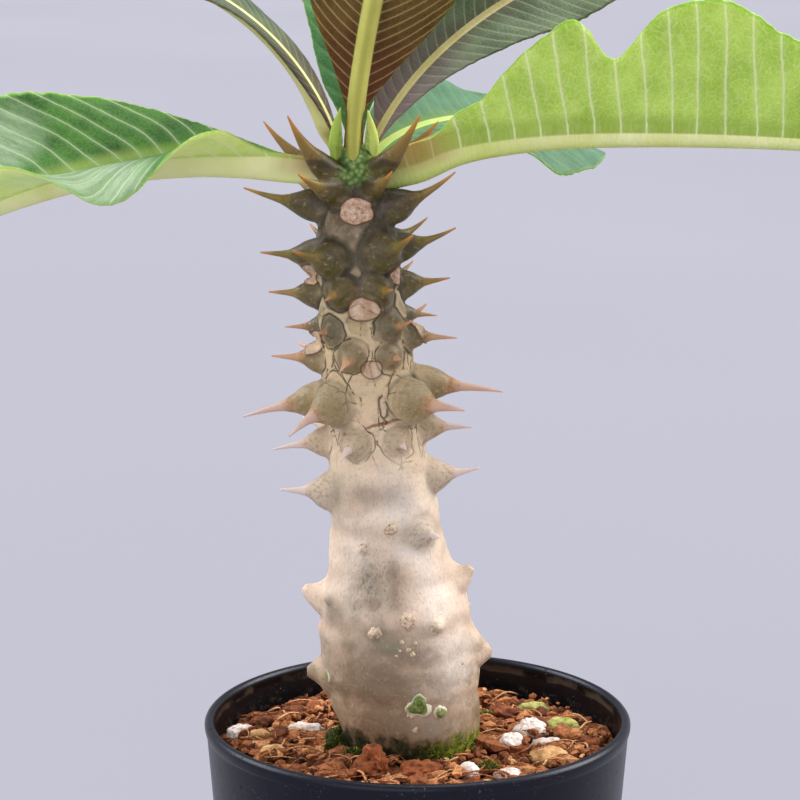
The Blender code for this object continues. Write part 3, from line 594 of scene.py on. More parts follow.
for name, places, seed, facet, pits, finish in (
    ("pumice_grains", PUMICE, 31, 0.22, 0.45,
     stone_finish("pumice_white", (248, 238, 230), (226, 210, 200), (136, 108, 88), 0.8)),
    ("tan_stones", TAN_STONES, 41, 0.18, 0.25,
     stone_finish("stone_tan", (222, 178, 124), (178, 128, 76), (92, 70, 34), 0.7)),
    ("mossy_stones", MOSSY_STONES, 51, 0.2, 0.3,
     stone_finish("stone_mossy", (198, 190, 122), (132, 142, 50), (56, 70, 14), 0.9)),
    ("bark_lumps", BARK_LUMPS, 61, 0.3, 0.5,
     stone_finish("bark_lump", (152, 82, 42), (84, 42, 20), (34, 17, 9), 0.9)),
):
    stones = new_piece(name, *rough_lumps(places, seed, facet, pits), finish)
    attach(stones, "root")
    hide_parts("soil")


# The stem is one grown body: a grey-brown crown, a tan cracked middle and a smooth pale foot. Thorns
# with swollen bases stand round it, and healed leaf scars and worn stubs lie between them.

# Height, sideways lean and radius
STEM_STATIONS = np.array((
    (52.0, -0.6, 6.0), (64.0, -0.8, 11.0), (76.0, -1.2, 14.0), (86.0, -2.7, 16.0), (96.0, -3.9, 16.7),
    (106.0, -4.8, 15.6), (116.0, -5.9, 12.9), (128.0, -7.0, 11.2), (140.0, -8.5, 10.3),
    (152.0, -9.9, 9.9), (164.0, -11.0, 9.4), (176.0, -12.2, 8.8), (186.0, -12.7, 8.0),
    (194.0, -12.8, 6.3), (199.0, -12.8, 5.0), (202.0, -12.8, 3.3), (203.4, -12.8, 1.2),
))
# Thorns seen from the front, then worn stubs: azimuth in degrees from the front to the right, height of
# the root, reach of the tip from the stem's middle, height of the tip, base radius
FRONT_THORNS = (
    (-115, 195.2, 21.0, 206.6, 2.5), (-50, 196.2, 17.2, 209.6, 2.8), (42, 196.7, 19.5, 210.2, 2.7),
    (114, 197.2, 18.6, 206.7, 2.5), (-90, 190.0, 22.7, 193.9, 3.5), (-38, 193.3, 18.0, 198.4, 2.8),
    (33, 193.7, 13.8, 198.6, 2.4), (76, 189.7, 20.8, 197.7, 3.6), (-97, 179.8, 20.1, 180.3, 3.5),
    (-38, 180.0, 20.3, 183.3, 3.9), (39, 181.2, 18.2, 186.3, 4.1), (88, 181.4, 20.2, 185.8, 3.2),
    (-90, 172.2, 18.8, 172.5, 3.2), (92, 174.0, 18.6, 175.3, 3.1), (-25, 173.9, 15.6, 173.0, 3.5),
    (27, 173.9, 15.0, 175.1, 3.5), (-92, 165.3, 16.3, 165.1, 2.3), (-47, 165.3, 12.4, 165.5, 2.9),
    (39, 166.2, 15.6, 168.5, 3.0), (104, 167.6, 15.8, 166.9, 2.1), (80, 163.6, 19.2, 163.5, 2.7),
    (-86, 158.9, 19.7, 159.4, 3.2), (-18, 160.5, 16.2, 158.8, 2.9), (32, 160.3, 13.6, 160.6, 2.8),
    (-92, 150.0, 26.6, 146.1, 3.9), (-48, 150.6, 22.0, 145.4, 4.5), (50, 150.9, 24.8, 151.0, 4.7),
    (88, 153.6, 27.6, 151.8, 3.7), (-91, 141.2, 21.4, 139.3, 3.2), (-25, 142.7, 16.4, 140.3, 3.5),
    (28, 143.0, 13.6, 142.0, 3.3), (88, 144.4, 20.3, 144.3, 3.3), (-86, 130.6, 21.3, 131.2, 4.2),
    (86, 134.0, 20.5, 135.8, 3.9), (42, 123.5, 16.4, 123.7, 3.6),
)
STUBS = np.array((
    (-24, 120.8, 13.7, 121.4, 2.3), (85, 111.6, 16.8, 114.6, 4.6), (-88, 107.8, 18.8, 110.0, 5.0),
    (-61, 109.4, 16.0, 109.1, 2.5), (10, 106.4, 16.6, 106.5, 2.4), (-15, 103.7, 17.1, 103.8, 2.3),
    (33, 104.8, 17.2, 105.2, 3.2), (82, 96.7, 19.8, 96.4, 5.2), (-88, 91.6, 20.2, 91.5, 5.6),
))
# Leaf scars: azimuth, height, half-width, half-height
FRONT_SCARS = (
    (2, 190.1, 3.4, 2.7), (-80, 176.3, 1.8, 2.3), (61, 177.4, 2.2, 3.0), (4, 170.4, 3.5, 2.6),
    (-79, 162.3, 1.8, 2.4), (82, 164.6, 1.8, 2.1), (5, 158.2, 2.2, 1.8),
)
# Heights of the back's tiers, each with three thorns and a scar
BACK_TIERS = np.array((190.6, 181.2, 173.2, 164.6, 157.2, 150.6, 142.4, 132.4))
# Patches, part weathering and part painted light: some grey-green ones are painted shade in hollows, some
# chalky ones painted highlight on the lit right side. Azimuth, height, half-width, half-height, then how
# grey-green, brown and chalky
PATCHES = (
    (34, 123.6, 4.5, 3.2, 0.9, 0.0, 0.0), (-16, 114.2, 6.5, 6.5, 0.75, 0.15, 0.0),
    (-3, 102.2, 9.0, 3.2, 0.7, 0.4, 0.0), (-54, 107.6, 5.0, 3.0, 0.8, 0.1, 0.0),
    (-62, 131.0, 5.0, 5.0, 0.7, 0.2, 0.0), (80, 133.5, 4.5, 4.0, 0.6, 0.2, 0.0),
    (-20, 95.0, 15.0, 7.0, 0.45, 1.0, 0.0), (16, 83.6, 8.0, 1.8, 0.55, 0.0, 0.4),
    (-12, 83.4, 7.0, 2.2, 0.0, 1.0, 0.0), (24, 120.4, 4.5, 2.4, 0.0, 0.0, 1.0),
    (42, 96.5, 7.5, 9.0, 0.0, 0.0, 0.75), (36, 112.0, 5.0, 7.0, 0.0, 0.0, 0.6),
    (-6, 132.0, 8.0, 2.8, 0.1, 0.6, 0.0), (3, 113.0, 1.6, 5.0, 0.0, 0.9, 0.0),
    (-17, 109.8, 2.2, 2.0, 0.0, 0.7, 0.0), (18, 130.0, 6.0, 6.5, 0.0, 0.0, 0.8),
    (-34, 118.0, 4.0, 8.0, 0.0, 0.0, 0.4), (120, 118.0, 8.0, 6.0, 0.6, 0.2, 0.0),
    (175, 108.0, 9.0, 7.0, 0.6, 0.4, 0.0), (-150, 128.0, 6.0, 7.0, 0.1, 0.5, 0.5),
    (150, 93.0, 12.0, 6.0, 0.3, 0.7, 0.0), (-130, 98.0, 10.0, 8.0, 0.4, 0.4, 0.2),
    (-170, 138.0, 6.0, 4.0, 0.5, 0.1, 0.0),
)


def smooth_read(knots, values, wanted):
    """Cubic Hermite curve through the values, with slopes from the neighbouring knots."""
    slopes = np.gradient(values, knots, axis=0)
    k = np.clip(np.searchsorted(knots, wanted) - 1, 0, len(knots) - 2)
    span = (knots[k + 1] - knots[k])[..., None]
    u = (wanted - knots[k])[..., None] / span
    rise = u * u * (3 - 2 * u)
    pulls = slopes[k] * u * (1 - u) ** 2 * span + slopes[k + 1] * u * u * (u - 1) * span
    return values[k] * (1 - rise) + values[k + 1] * rise + pulls


def stem_at(heights):
    """Sideways lean and radius of the bare stem at the given heights."""
    heights = np.asarray(heights, float)
    return np.moveaxis(smooth_read(STEM_STATIONS[:, 0], STEM_STATIONS[:, 1:], heights), -1, 0)


def back_growth():
    """The unseen side keeps the habit of the front: three thorns a tier over each leaf scar,
    mirrored from tier to tier."""
    draw = np.random.default_rng(5)
    mirror = np.where(np.arange(len(BACK_TIERS)) % 2, 1, -1)
    azimuth = 180 + mirror[:, None] * np.array([-50, -13, 33])
    azimuth = azimuth + draw.uniform(-4, 4, azimuth.shape)
    root = BACK_TIERS[:, None] + draw.uniform(-0.8, 0.8, azimuth.shape)
    reach = stem_at(root)[1] + draw.uniform(8.0, 10.5, azimuth.shape)
    fade = 3 * (1 - np.arange(len(BACK_TIERS)) / len(BACK_TIERS))
    tip = root + draw.uniform(-1, 2, azimuth.shape) + fade[:, None]
    base = draw.uniform(3.0, 3.7, azimuth.shape)
    thorns = np.stack([azimuth, root, reach, tip, base], -1).reshape(-1, 5)
    ones = np.ones(len(BACK_TIERS))
    return thorns, np.stack([180 + mirror * 10.0, BACK_TIERS - 4.4, 2.9 * ones, 2.2 * ones], 1)


def growth_axes(growths):
    """Where each growth leaves the stem's middle, its outward direction, and the stem's radius there.
    A growth is a row that starts with its azimuth and its height."""
    turn = np.radians(growths[:, 0])
    lean, radius = stem_at(growths[:, 1])
    outward = np.stack([np.sin(turn), -np.cos(turn), 0 * turn], -1)
    return np.stack([lean, 0 * lean, growths[:, 1]], -1), outward, radius


def thorn_paths(growths, u):
    """Each thorn is a quadratic curve: it leaves the stem square to it and bends to its tip."""
    middle, outward, radius = growth_axes(growths)
    reach = growths[:, 2]
    lift = (growths[:, 3] - growths[:, 1])[:, None] * np.array([0, 0, 1.0])
    start = middle + outward * np.maximum(radius - 3.5, 0.5)[:, None]
    bend = middle + outward * (radius + 0.4 * (reach - radius))[:, None] + 0.12 * lift
    end = middle + outward * reach[:, None] + lift
    u = np.asarray(u)[:, None]
    return (1 - u) ** 2 * start[:, None] + 2 * u * (1 - u) * bend[:, None] + u * u * end[:, None]


def ringed(paths, radii, around):
    """Rings of points square to each path. Each point is the path's own, plus its radius times the
    cosine of the turn sideways and the sine of it upwards."""
    ahead = unit(np.gradient(paths, axis=1))
    side = unit(np.cross(ahead, np.array([0.0, 0.0, 1.0])))
    up = np.cross(side, ahead)
    turn = np.linspace(0, math.tau, around + 1)[:-1, None]
    ring = np.cos(turn) * side[:, :, None] + np.sin(turn) * up[:, :, None]
    return paths[:, :, None] + radii[:, :, None, None] * ring


def gathered(shapes):
    """Several closed skins as one list of points and one of faces."""
    points, faces, count = [], [], 0
    for shape_points, shape_faces in shapes:
        points.append(shape_points)
        faces += [[index + count for index in face] for face in shape_faces]
        count += len(shape_points)
    return np.concatenate(points), faces


back_thorns, back_scars = back_growth()
thorns = np.concatenate([FRONT_THORNS, back_thorns])
scars = np.concatenate([FRONT_SCARS, back_scars])
# Radii along a thorn, from its root in the stem to its tip, in units of its base radius
THORN_PLACES = np.array((0.0, 0.28, 0.38, 0.50, 0.64, 0.80, 1.0))
THORN_SWELL = np.array((1.0, 1.0, 0.80, 0.46, 0.23, 0.13, 0.04))[:, None]
CROWN_SWELL = np.array((1.0, 1.0, 0.93, 0.78, 0.52, 0.28, 0.05))[:, None]
STUB_SWELL = np.array((1.05, 1.0, 0.86, 0.66, 0.48, 0.34, 0.20))[:, None]
FUSED_PART = 0.78
thorn_u = np.linspace(0, FUSED_PART, 14)
stub_u = np.linspace(0, 1, 12)
GROWTH_SIDES = 16
VOXEL = 0.46


def thorn_radii(u):
    """The radius of every thorn at each place along it. The crown's thorns stay full for longer."""
    slim = smooth_read(THORN_PLACES, THORN_SWELL, u)[:, 0]
    full = smooth_read(THORN_PLACES, CROWN_SWELL, u)[:, 0]
    crown_share = np.interp(thorns[:, 1], (190.5, 195.5), (0, 1))[:, None]
    return (slim + crown_share * (full - slim)) * thorns[:, 4:]


def stub_radii(u):
    """The radius of every stub at each place along it."""
    return smooth_read(THORN_PLACES, STUB_SWELL, u)[:, 0] * STUBS[:, 4:]


stem_heights = np.linspace(STEM_STATIONS[0, 0], STEM_STATIONS[-1, 0], 120)
stem_lean, stem_radius = stem_at(stem_heights)
stem_rings = turned(np.stack([stem_radius, stem_heights], 1), 96)
stem_rings = stem_rings + np.stack([stem_lean, 0 * stem_lean, 0 * stem_lean], 1)[:, None]
grown = [skin(stem_rings)]
grown += map(skin, ringed(thorn_paths(thorns, thorn_u), thorn_radii(thorn_u), GROWTH_SIDES))
grown += map(skin, ringed(thorn_paths(STUBS, stub_u), stub_radii(stub_u), GROWTH_SIDES))

bark = Finish("bark_skin", Specular_IOR_Level=0.4, Subsurface_Weight=0.06, Subsurface_Scale=0.0015)
stem = new_piece("stem", *gathered(grown), bark.material)
fuse = stem.modifiers.new("grown_together", "REMESH")
fuse.mode = "VOXEL"
fuse.voxel_size = VOXEL * MM
apply_modifiers(stem)


def read(mesh, what):
    """The places, "co", or the directions, "normal", of the mesh's points, one a row."""
    flat = np.empty(len(mesh.vertices) * 3)
    mesh.vertices.foreach_get(what, flat)
    return flat.reshape(-1, 3)


def write_points(mesh, points):
    """Puts the mesh's points at new places in mm."""
    mesh.vertices.foreach_set("co", (points * MM).ravel())
    mesh.update()


def relaxed(points, edges, rounds):
    """Each round moves every point half way to the mean of its neighbours along the edges."""
    near = np.bincount(edges.ravel(), minlength=len(points))[:, None]
    for _ in range(rounds):
        total = np.stack([np.bincount(edges[:, 0], points[edges[:, 1], axis], len(points))
                          + np.bincount(edges[:, 1], points[edges[:, 0], axis], len(points))
                          for axis in range(3)], 1)
        points = 0.5 * points + 0.5 * total / near
    return points


stem_edges = np.empty(len(stem.data.edges) * 2, int)
stem.data.edges.foreach_get("vertices", stem_edges)
stem_edges = stem_edges.reshape(-1, 2)
stem_points = relaxed(read(stem.data, "co") / MM, stem_edges, 2)
write_points(stem.data, stem_points)
stem_normals = read(stem.data, "normal")
# How deep each point lies in narrow folds, and in the broad valleys between bulbs
even_points = relaxed(stem_points, stem_edges, 24)
hollow = ((even_points - stem_points) * stem_normals).sum(1)
valley = ((relaxed(even_points, stem_edges, 140) - stem_points) * stem_normals).sum(1)


def along_growths(points, growths, radii_at):
    """How far along a growth each point lies, 0 off them and 1 at a tip, and how far from the nearest
    one's axis, in units of its base radius and at most 3."""
    u = np.linspace(0, 1, 25)
    paths = thorn_paths(growths, u)
    middle, outward, radius = growth_axes(growths)
    share = np.zeros(len(points))
    collar = np.full(len(points), 3.0)
    for number, (path, radii) in enumerate(zip(paths, radii_at(u))):
        near = np.flatnonzero((np.abs(points - path.mean(0)) < np.ptp(path, axis=0) / 2 + 8).all(1))
        gap = np.linalg.norm(points[near, None] - path, axis=2)
        best = (gap - radii).argmin(1)
        over = gap[np.arange(len(near)), best] - radii[best]
        share[near] = np.maximum(share[near], u[best] * np.clip(1 - over / 1.0, 0, 1))
        from_axis = points[near] - middle[number]
        out = from_axis @ outward[number]
        aside = np.linalg.norm(from_axis - out[:, None] * outward[number], axis=1) / growths[number, 4]
        aside[out < 0] = 3.0
        collar[near] = np.minimum(collar[near], aside)
    return share, collar


def on_stem(points, spots):
    """For each point and spot, the distance in units of the spot's half-width and half-height over
    the stem's surface. A spot is azimuth, height, half-width, half-height."""
    spots = np.asarray(spots, float)
    lean, radius = stem_at(spots[:, 1])
    turn = np.arctan2(points[:, None, 0] - lean, -points[:, None, 1]) - np.radians(spots[:, 0])
    turn = (turn + math.pi) % math.tau - math.pi
    return np.hypot(turn * radius / spots[:, 2], (points[:, None, 2] - spots[:, 1]) / spots[:, 3])


# Heights and strengths of the shallow hollow belts round the old part of the stem
BELT_LEVELS = (88.0, 97.5, 103.5, 113.5, 123.5)
BELT_SHARES = np.array((0.35, 0.2, 0.45, 0.25, 0.4))
thorn_share, collar = along_growths(stem_points, thorns, thorn_radii)
collar = collar * (1 + 0.16 * cloud(stem_points, 3.4, 68)) + 0.10 * cloud(stem_points, 1.3, 67)
level = stem_points[:, 2]
lean, bare_radius = stem_at(level)
round_stem = np.arctan2(stem_points[:, 0] - lean, -stem_points[:, 1])
proud = np.hypot(stem_points[:, 0] - lean, stem_points[:, 1]) - bare_radius
wobble = 0.16 * cloud(stem_points, 1.6, 78)
scar_far = np.where(proud > 3.0, 2.0, np.minimum(on_stem(stem_points, scars).min(1) + wobble, 2.0))
patch_far = on_stem(stem_points, np.array(PATCHES)[:, :4]) + 0.35 * cloud(stem_points, 2.6, 79)[:, None]
patched = np.clip(np.exp(-1.2 * patch_far ** 2) @ np.array(PATCHES)[:, 4:], 0, 1)
# The second patch is finely puckered
wrinkled = np.exp(-1.5 * patch_far[:, 1] ** 2)
old = np.clip((150 - level) / 10, 0, 1)
bulb = np.clip(thorn_share * 5, 0, 1)
belt = level + 1.2 * cloud(stem_points * (1, 1, 0), 9.0, 65) + 0.04 * stem_points[:, 0]
belts = np.exp(-((belt[:, None] - BELT_LEVELS) / 1.7) ** 2) @ BELT_SHARES
puckers = 0.05 * old * cloud(stem_points * (1, 1, 0.2), 0.8, 71)
puckers += 0.14 * old * cloud(stem_points * (1, 1, 2.2), 4.2, 72)
puckers += 0.24 * wrinkled * cloud(stem_points * (1, 1, 0.5), 0.9, 77)
dents = 0.5 * old * (1 - bulb) * cloud(stem_points, 8.0, 73) + 0.16 * cloud(stem_points, 3.4, 74)
knobs = 0.24 * cloud(stem_points, 1.9, 75) + 0.12 * cloud(stem_points, 0.9, 76)
knobs *= (1 - old) * (1 - 0.7 * bulb)
# A leaf scar has a raised ring with a groove round it, and a low, pitted pad in its middle
ring_swell = 0.5 * np.exp(-((scar_far - 0.95) / 0.14) ** 2) - 0.35 * np.exp(-((scar_far - 1.25) / 0.12) ** 2)
ring_swell += 0.35 * np.clip(0.85 - scar_far, 0, 0.2) / 0.2
ring_swell += 0.12 * (scar_far < 0.8) * cloud(stem_points, 0.7, 70)
# A groove runs round each upper thorn's bulb, and a torn seam of skin crosses the front
bare = np.clip(2.4 - proud, 0, 1)
groove = np.exp(-((collar - 1.28) / 0.10) ** 2) * np.clip((level - 134) / 8, 0, 1) * bare
seam_level = 146.0 + 0.045 * np.degrees(round_stem) + 0.7 * cloud(stem_points, 3.0, 69)
facing_front = np.clip(1.6 - np.abs(round_stem), 0, 1)
torn = np.clip(0.5 + 1.6 * cloud(stem_points, 2.4, 66), 0, 1)
seam = np.exp(-((level - seam_level) / 0.34) ** 2) * facing_front * np.clip(2.0 - proud, 0, 1) * torn
off_tip = 1 - np.clip((thorn_share - 0.40) / 0.2, 0, 1)
swell = (puckers + dents + knobs - belts * old * (1 - bulb)) * off_tip
swell *= np.clip((scar_far - 0.9) * 3, 0.2, 1)
swell += ring_swell * (thorn_share < 0.45) - 0.32 * groove * off_tip - 0.45 * seam
stem_points = stem_points + stem_normals * swell[:, None]
write_points(stem.data, stem_points)
stem.data.shade_smooth()
keep(stem.data, "growth", np.stack([thorn_share, valley, scar_far], 1))
keep(stem.data, "skin", np.stack([hollow, old, collar], 1))
# Of the worn numbers, the belts carry painted shade in the hollow belts; the seam and the puckering are wear
keep(stem.data, "worn", np.stack([belts, seam, wrinkled], 1))
keep(stem.data, "patched", patched)
keep(stem.data, "skyward", stem_normals[:, 2])

# The thorns' colours at a few levels, from 0 at the lowest thorns to 1 at the top of the crown
THORN_LEVELS = (0.0, 0.27, 0.36, 0.47, 0.55, 0.63, 0.72, 0.84, 0.92)
THORN_ROOT = (
    (216, 200, 184), (210, 190, 168), (184, 168, 140), (172, 156, 130), (128, 114, 92), (110, 96, 68),
    (88, 78, 54), (98, 82, 58), (94, 80, 46))
THORN_BULB = (
    (208, 192, 176), (196, 174, 144), (146, 126, 78), (142, 120, 82), (92, 84, 58), (92, 80, 34),
    (76, 66, 28), (88, 72, 38), (88, 72, 30))
THORN_RING = (
    (222, 206, 192), (214, 186, 162), (168, 124, 84), (190, 140, 96), (154, 118, 74), (134, 114, 52),
    (110, 98, 40), (122, 104, 46), (122, 98, 42))
NEEDLE_LEVELS = (0.0, 0.27, 0.36, 0.45, 0.55, 0.63, 0.72, 0.84, 0.92)
THORN_NEEDLE = (
    (228, 212, 202), (224, 202, 190), (206, 168, 148), (214, 168, 132), (178, 136, 92), (156, 124, 62),
    (126, 108, 44), (138, 114, 46), (136, 106, 42))
TIP_LEVELS = (0.0, 0.30, 0.42, 0.55, 0.63, 0.72, 0.84, 1.0)
THORN_TIP = (
    (238, 226, 220), (222, 196, 188), (220, 174, 148), (206, 148, 110), (202, 142, 96), (188, 124, 56),
    (200, 138, 56), (190, 128, 46))


def thorn_tone(finish, along, rise, skyward):
    """A thorn is ashy at its root, darker on the bulb, has a warm ring where the bulb ends, and then a
    pale needle with a coloured tip. All of it darkens from the stem's foot to the crown. Sides that
    look to the sky are painted paler as painted highlight, and the undersides of the upper ones are olive."""
    level = finish.scaled(rise, 1 / 88, -118 / 88)
    root = finish.ramp(level, *zip(THORN_LEVELS, THORN_ROOT))
    bulb = finish.ramp(level, *zip(THORN_LEVELS, THORN_BULB))
    ring = finish.ramp(level, *zip(THORN_LEVELS, THORN_RING))
    needle = finish.ramp(level, *zip(NEEDLE_LEVELS, THORN_NEEDLE))
    tip = finish.ramp(level, *zip(TIP_LEVELS, THORN_TIP))
    # In the crown each colour reaches a little farther along the thorn
    later = finish.scaled(finish.between(level, 0.78, 0.88), -0.10, finish.ragged(along, 0.16, 1.8, 4, 0.6))
    laid_before = finish.colour
    finish.colour = finish.mix(finish.between(later, 0.10, 0.26), root, bulb)
    # Painted highlight: sides that look to the sky are painted paler
    finish.coat(root, finish.between(skyward, 0.15, 0.75), 0.45)
    finish.coat((96, 92, 22), finish.between(skyward, 0.05, -0.55), finish.between(level, 0.45, 0.62), 0.45)
    finish.coat(ring, finish.between(later, 0.34, 0.46))
    dark_spots = finish.scaled(finish.between(finish.noise(0.9, 4, 0.7), 0.50, 0.40), 0.55)
    finish.colour = finish.mix(dark_spots, finish.colour, (196, 172, 138), "MULTIPLY")
    ashy = finish.between(finish.noise(1.3, 4, 0.7, (1, 1, 1.4)), 0.56, 0.70)
    finish.coat(root, ashy, 0.5)
    finish.coat((214, 198, 170), ashy, 0.28)
    finish.coat(needle, finish.between(later, 0.44, 0.62))
    finish.coat(tip, finish.between(along, 0.76, 0.95))
    toned, finish.colour = finish.colour, laid_before
    return toned


along_thorn, in_valley, from_scar = bark.own("growth")
in_fold, aged, from_collar = bark.own("skin")
belt_shade, torn_open, puckered = bark.own("worn")
grey_stain_and_shade, browned, chalk_and_highlight = bark.own("patched")
young = bark.scaled(aged, -1, 1)
up_stem = bark.height()
rise = bark.ragged(up_stem, 10, 7, 4)
stem_level = bark.scaled(rise, 1 / 140, -0.5)
bark.colour = bark.ramp(
    stem_level,
    (0.0, (76, 56, 32)), (0.07, (116, 92, 62)), (0.14, (192, 166, 138)), (0.27, (242, 217, 194)),
    (0.45, (248, 225, 196)), (0.56, (232, 202, 164)), (0.64, (214, 186, 142)), (0.70, (184, 162, 120)),
    (0.77, (134, 116, 82)), (0.87, (86, 73, 49)), (0.93, (84, 78, 42)), (1.0, (118, 150, 52)))
bark.mottle((176, 156, 132), bark.scaled(young, 0.35, 0.12), 0.42, 0.64, 2.8, 4, 0.65)
bark.mottle((220, 176, 140), bark.scaled(aged, 0.3), 0.50, 0.70, 5, 3, 0.55, (1, 1, 1.6))
bark.mottle((186, 156, 128), bark.scaled(aged, 0.35), 0.44, 0.62, 9, 4, 0.6, (1, 1, 1.5))
by_foot = bark.scaled(bark.between(rise, 110, 92), 0.65)
bark.mottle((122, 100, 70), by_foot, 0.46, 0.56, 6, 5, 0.7, (1, 1, 1.3))
# Painted shade in the shallow hollow belts round the old stem
bark.coat((170, 140, 112), belt_shade, aged, 0.9)
# Chalky pale patches: partly real chalk, partly painted highlight on the stem's lit right side
bark.coat((252, 242, 230), chalk_and_highlight, 0.8)
bark.coat((138, 108, 80), browned, 0.8)
# Grey-green patches: partly weathering, partly painted shade in hollows
bark.coat((128, 122, 98), grey_stain_and_shade, 0.8)
bark.mottle((112, 96, 74), bark.scaled(puckered, 0.55, 0.14), 0.50, 0.36, 0.55, 3, 0.7, (1, 1, 0.55))
bark.mottle((140, 112, 82), 0.30, 0.54, 0.66, 0.7, 5, 0.8)
bark.mottle((244, 234, 222), 0.16, 0.56, 0.70, 0.8, 3, 0.7)
on_thorn = bark.between(along_thorn, 0.05, 0.30)
bark.coat(thorn_tone(bark, along_thorn, rise, bark.own("skyward")[0]), on_thorn, 0.92)
# Painted shade: dark valleys between the upper thorns, a dark crease round their bulbs, and darker folds
upper_half = bark.between(rise, 140, 166)
bark.coat((46, 38, 28), bark.between(in_valley, 0.2, 2.0), upper_half, 0.75)
bark.coat((34, 28, 20), bark.band(from_collar, 0.95, 1.18, 1.30, 1.62), bark.between(rise, 158, 172), 0.6)
# Painted shade: folds are painted darker, most of all high on the stem
fold_shade_tone = bark.ramp(
    stem_level, (0.4, (168, 146, 120)), (0.6, (104, 98, 68)), (0.75, (44, 40, 28)), (1.0, (46, 60, 18)))
bark.coat(fold_shade_tone, bark.between(in_fold, 0.04, 0.34), bark.scaled(young, 0.65, 0.25))
# Cracks with pale lips round the bulbs of the middle, splits between them, and the torn seam
collar_band = bark.band(rise, 134, 146, 170, 184)
bark.coat((224, 200, 160), bark.band(from_collar, 1.36, 1.46, 1.54, 1.72), collar_band, 0.6)
crack = bark.times(
    bark.band(from_collar, 1.24, 1.28, 1.30, 1.35), collar_band, bark.between(bark.noise(3.4, 3), 0.42, 0.5))
split = bark.times(
    bark.between(bark.cells(4.4, "DISTANCE_TO_EDGE", (1, 1, 0.55)), 0.030, 0.012),
    bark.band(rise, 136, 141, 160, 176), bark.between(bark.noise(4.5, 3), 0.47, 0.53),
    bark.between(along_thorn, 0.3, 0.1))
crack = bark.calc("MAXIMUM", crack, split)
bark.coat((56, 70, 38), crack, 0.75)
bark.coat((126, 76, 48), bark.between(torn_open, 0.15, 0.75), 0.8)
# Leaf scars: corky flesh, smoother in the lower ones, with a dark ring
scar_flesh = bark.ramp(
    bark.noise(0.9, 4, 0.75), (0.30, (130, 88, 60)), (0.46, (190, 150, 120)), (0.66, (226, 202, 176)))
old_flesh = bark.ramp(bark.noise(2.2, 3, 0.6), (0.36, (190, 152, 118)), (0.62, (226, 200, 168)))
scar_flesh = bark.mix(bark.scaled(bark.between(up_stem, 178, 170), 0.8), scar_flesh, old_flesh)
off_thorn = bark.between(along_thorn, 0.45, 0.3)
bark.coat(scar_flesh, bark.between(from_scar, 1.02, 0.9), off_thorn)
bark.coat((92, 56, 32), bark.band(from_scar, 0.86, 0.96, 1.02, 1.12), off_thorn, 0.75)
# The growing point's small green bumps, painted light in their middles and dark between them as painted
# shade, and the mossy foot, painted lighter on its right where more light falls
fresh = bark.times(
    bark.between(bark.ragged(up_stem, 6, 3, 4), 194, 197), bark.between(along_thorn, 0.35, 0.12))
pebbles = bark.cells(1.1)
bark.coat(bark.ramp(pebbles, (0.1, (152, 178, 98)), (0.55, (92, 122, 54)), (0.9, (54, 76, 30))), fresh)
mossy = bark.between(bark.ragged(up_stem, 14, 3.5, 4, 0.65), 83.0, 78.5)
# Painted light: the moss is painted lighter towards the stem's lit right side
sideways = bark.add("SeparateXYZ", {0: bark.place}).node.outputs[0]
moss_light = bark.between(sideways, -0.004, 0.008, -0.16, 0.08)
moss_light = bark.calc("ADD", bark.noise(1.4, 5, 0.75), moss_light)
moss_tone = bark.ramp(
    moss_light, (0.30, (14, 18, 3)), (0.46, (40, 48, 7)), (0.60, (98, 110, 12)), (0.74, (156, 166, 44)))
bark.coat(moss_tone, mossy)
bark.relief(bark.noise(0.8, 4, 0.65, (1, 1, 0.3)), 0.14)
bark.relief(bark.noise(0.35, 3, 0.7), 0.09)
bark.relief(bark.scaled(crack, -1), 0.30)
bark.relief(bark.times(fresh, pebbles, -1), 0.5)
bark_rough = bark.blend(bark.calc("MAXIMUM", bark.noise(7, 4), mossy), 0.42, 0.7)
bark.done(bark.blend(bark.times(on_thorn, upper_half), bark_rough, 0.36))
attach(stem, "root")
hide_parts("trunk")


# Each thorn ends in a hard horny needle, orange at the crown and pinkish grey lower down. It grows
# out of the swollen base, so its root is sunk in it.
NEEDLE_ROOT = 0.56
NEEDLE_SIDES = 12
needle_u = np.linspace(NEEDLE_ROOT, 1.0, 13)
needle_radii = thorn_radii(needle_u) * np.clip(0.82 + 2.2 * (needle_u - NEEDLE_ROOT), 0, 1) + 0.02
needle_rings = ringed(thorn_paths(thorns, needle_u), needle_radii, NEEDLE_SIDES)
needle_points, needle_faces = gathered(map(skin, needle_rings))
horn = Finish("needle_horn", Specular_IOR_Level=0.5, Subsurface_Weight=0.1, Subsurface_Scale=0.001)
horn.colour = thorn_tone(horn, horn.own("growth")[0], horn.ragged(horn.height(), 10, 7, 4), 0.0)
horn.relief(horn.noise(0.5, 3), 0.04)
share = np.tile(np.append(np.repeat(needle_u, NEEDLE_SIDES), (NEEDLE_ROOT, 1)), len(thorns))
needles = new_piece("thorn_needles", needle_points, needle_faces, horn.done(0.45), growth=share)
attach(needles, "root")
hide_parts("trunk")


# Small healed wounds low on the stem: corky lobed knobs, small flecks of loose skin, and three green
# buds that stayed shut. They are part of the bark and stand about a millimetre out of it.

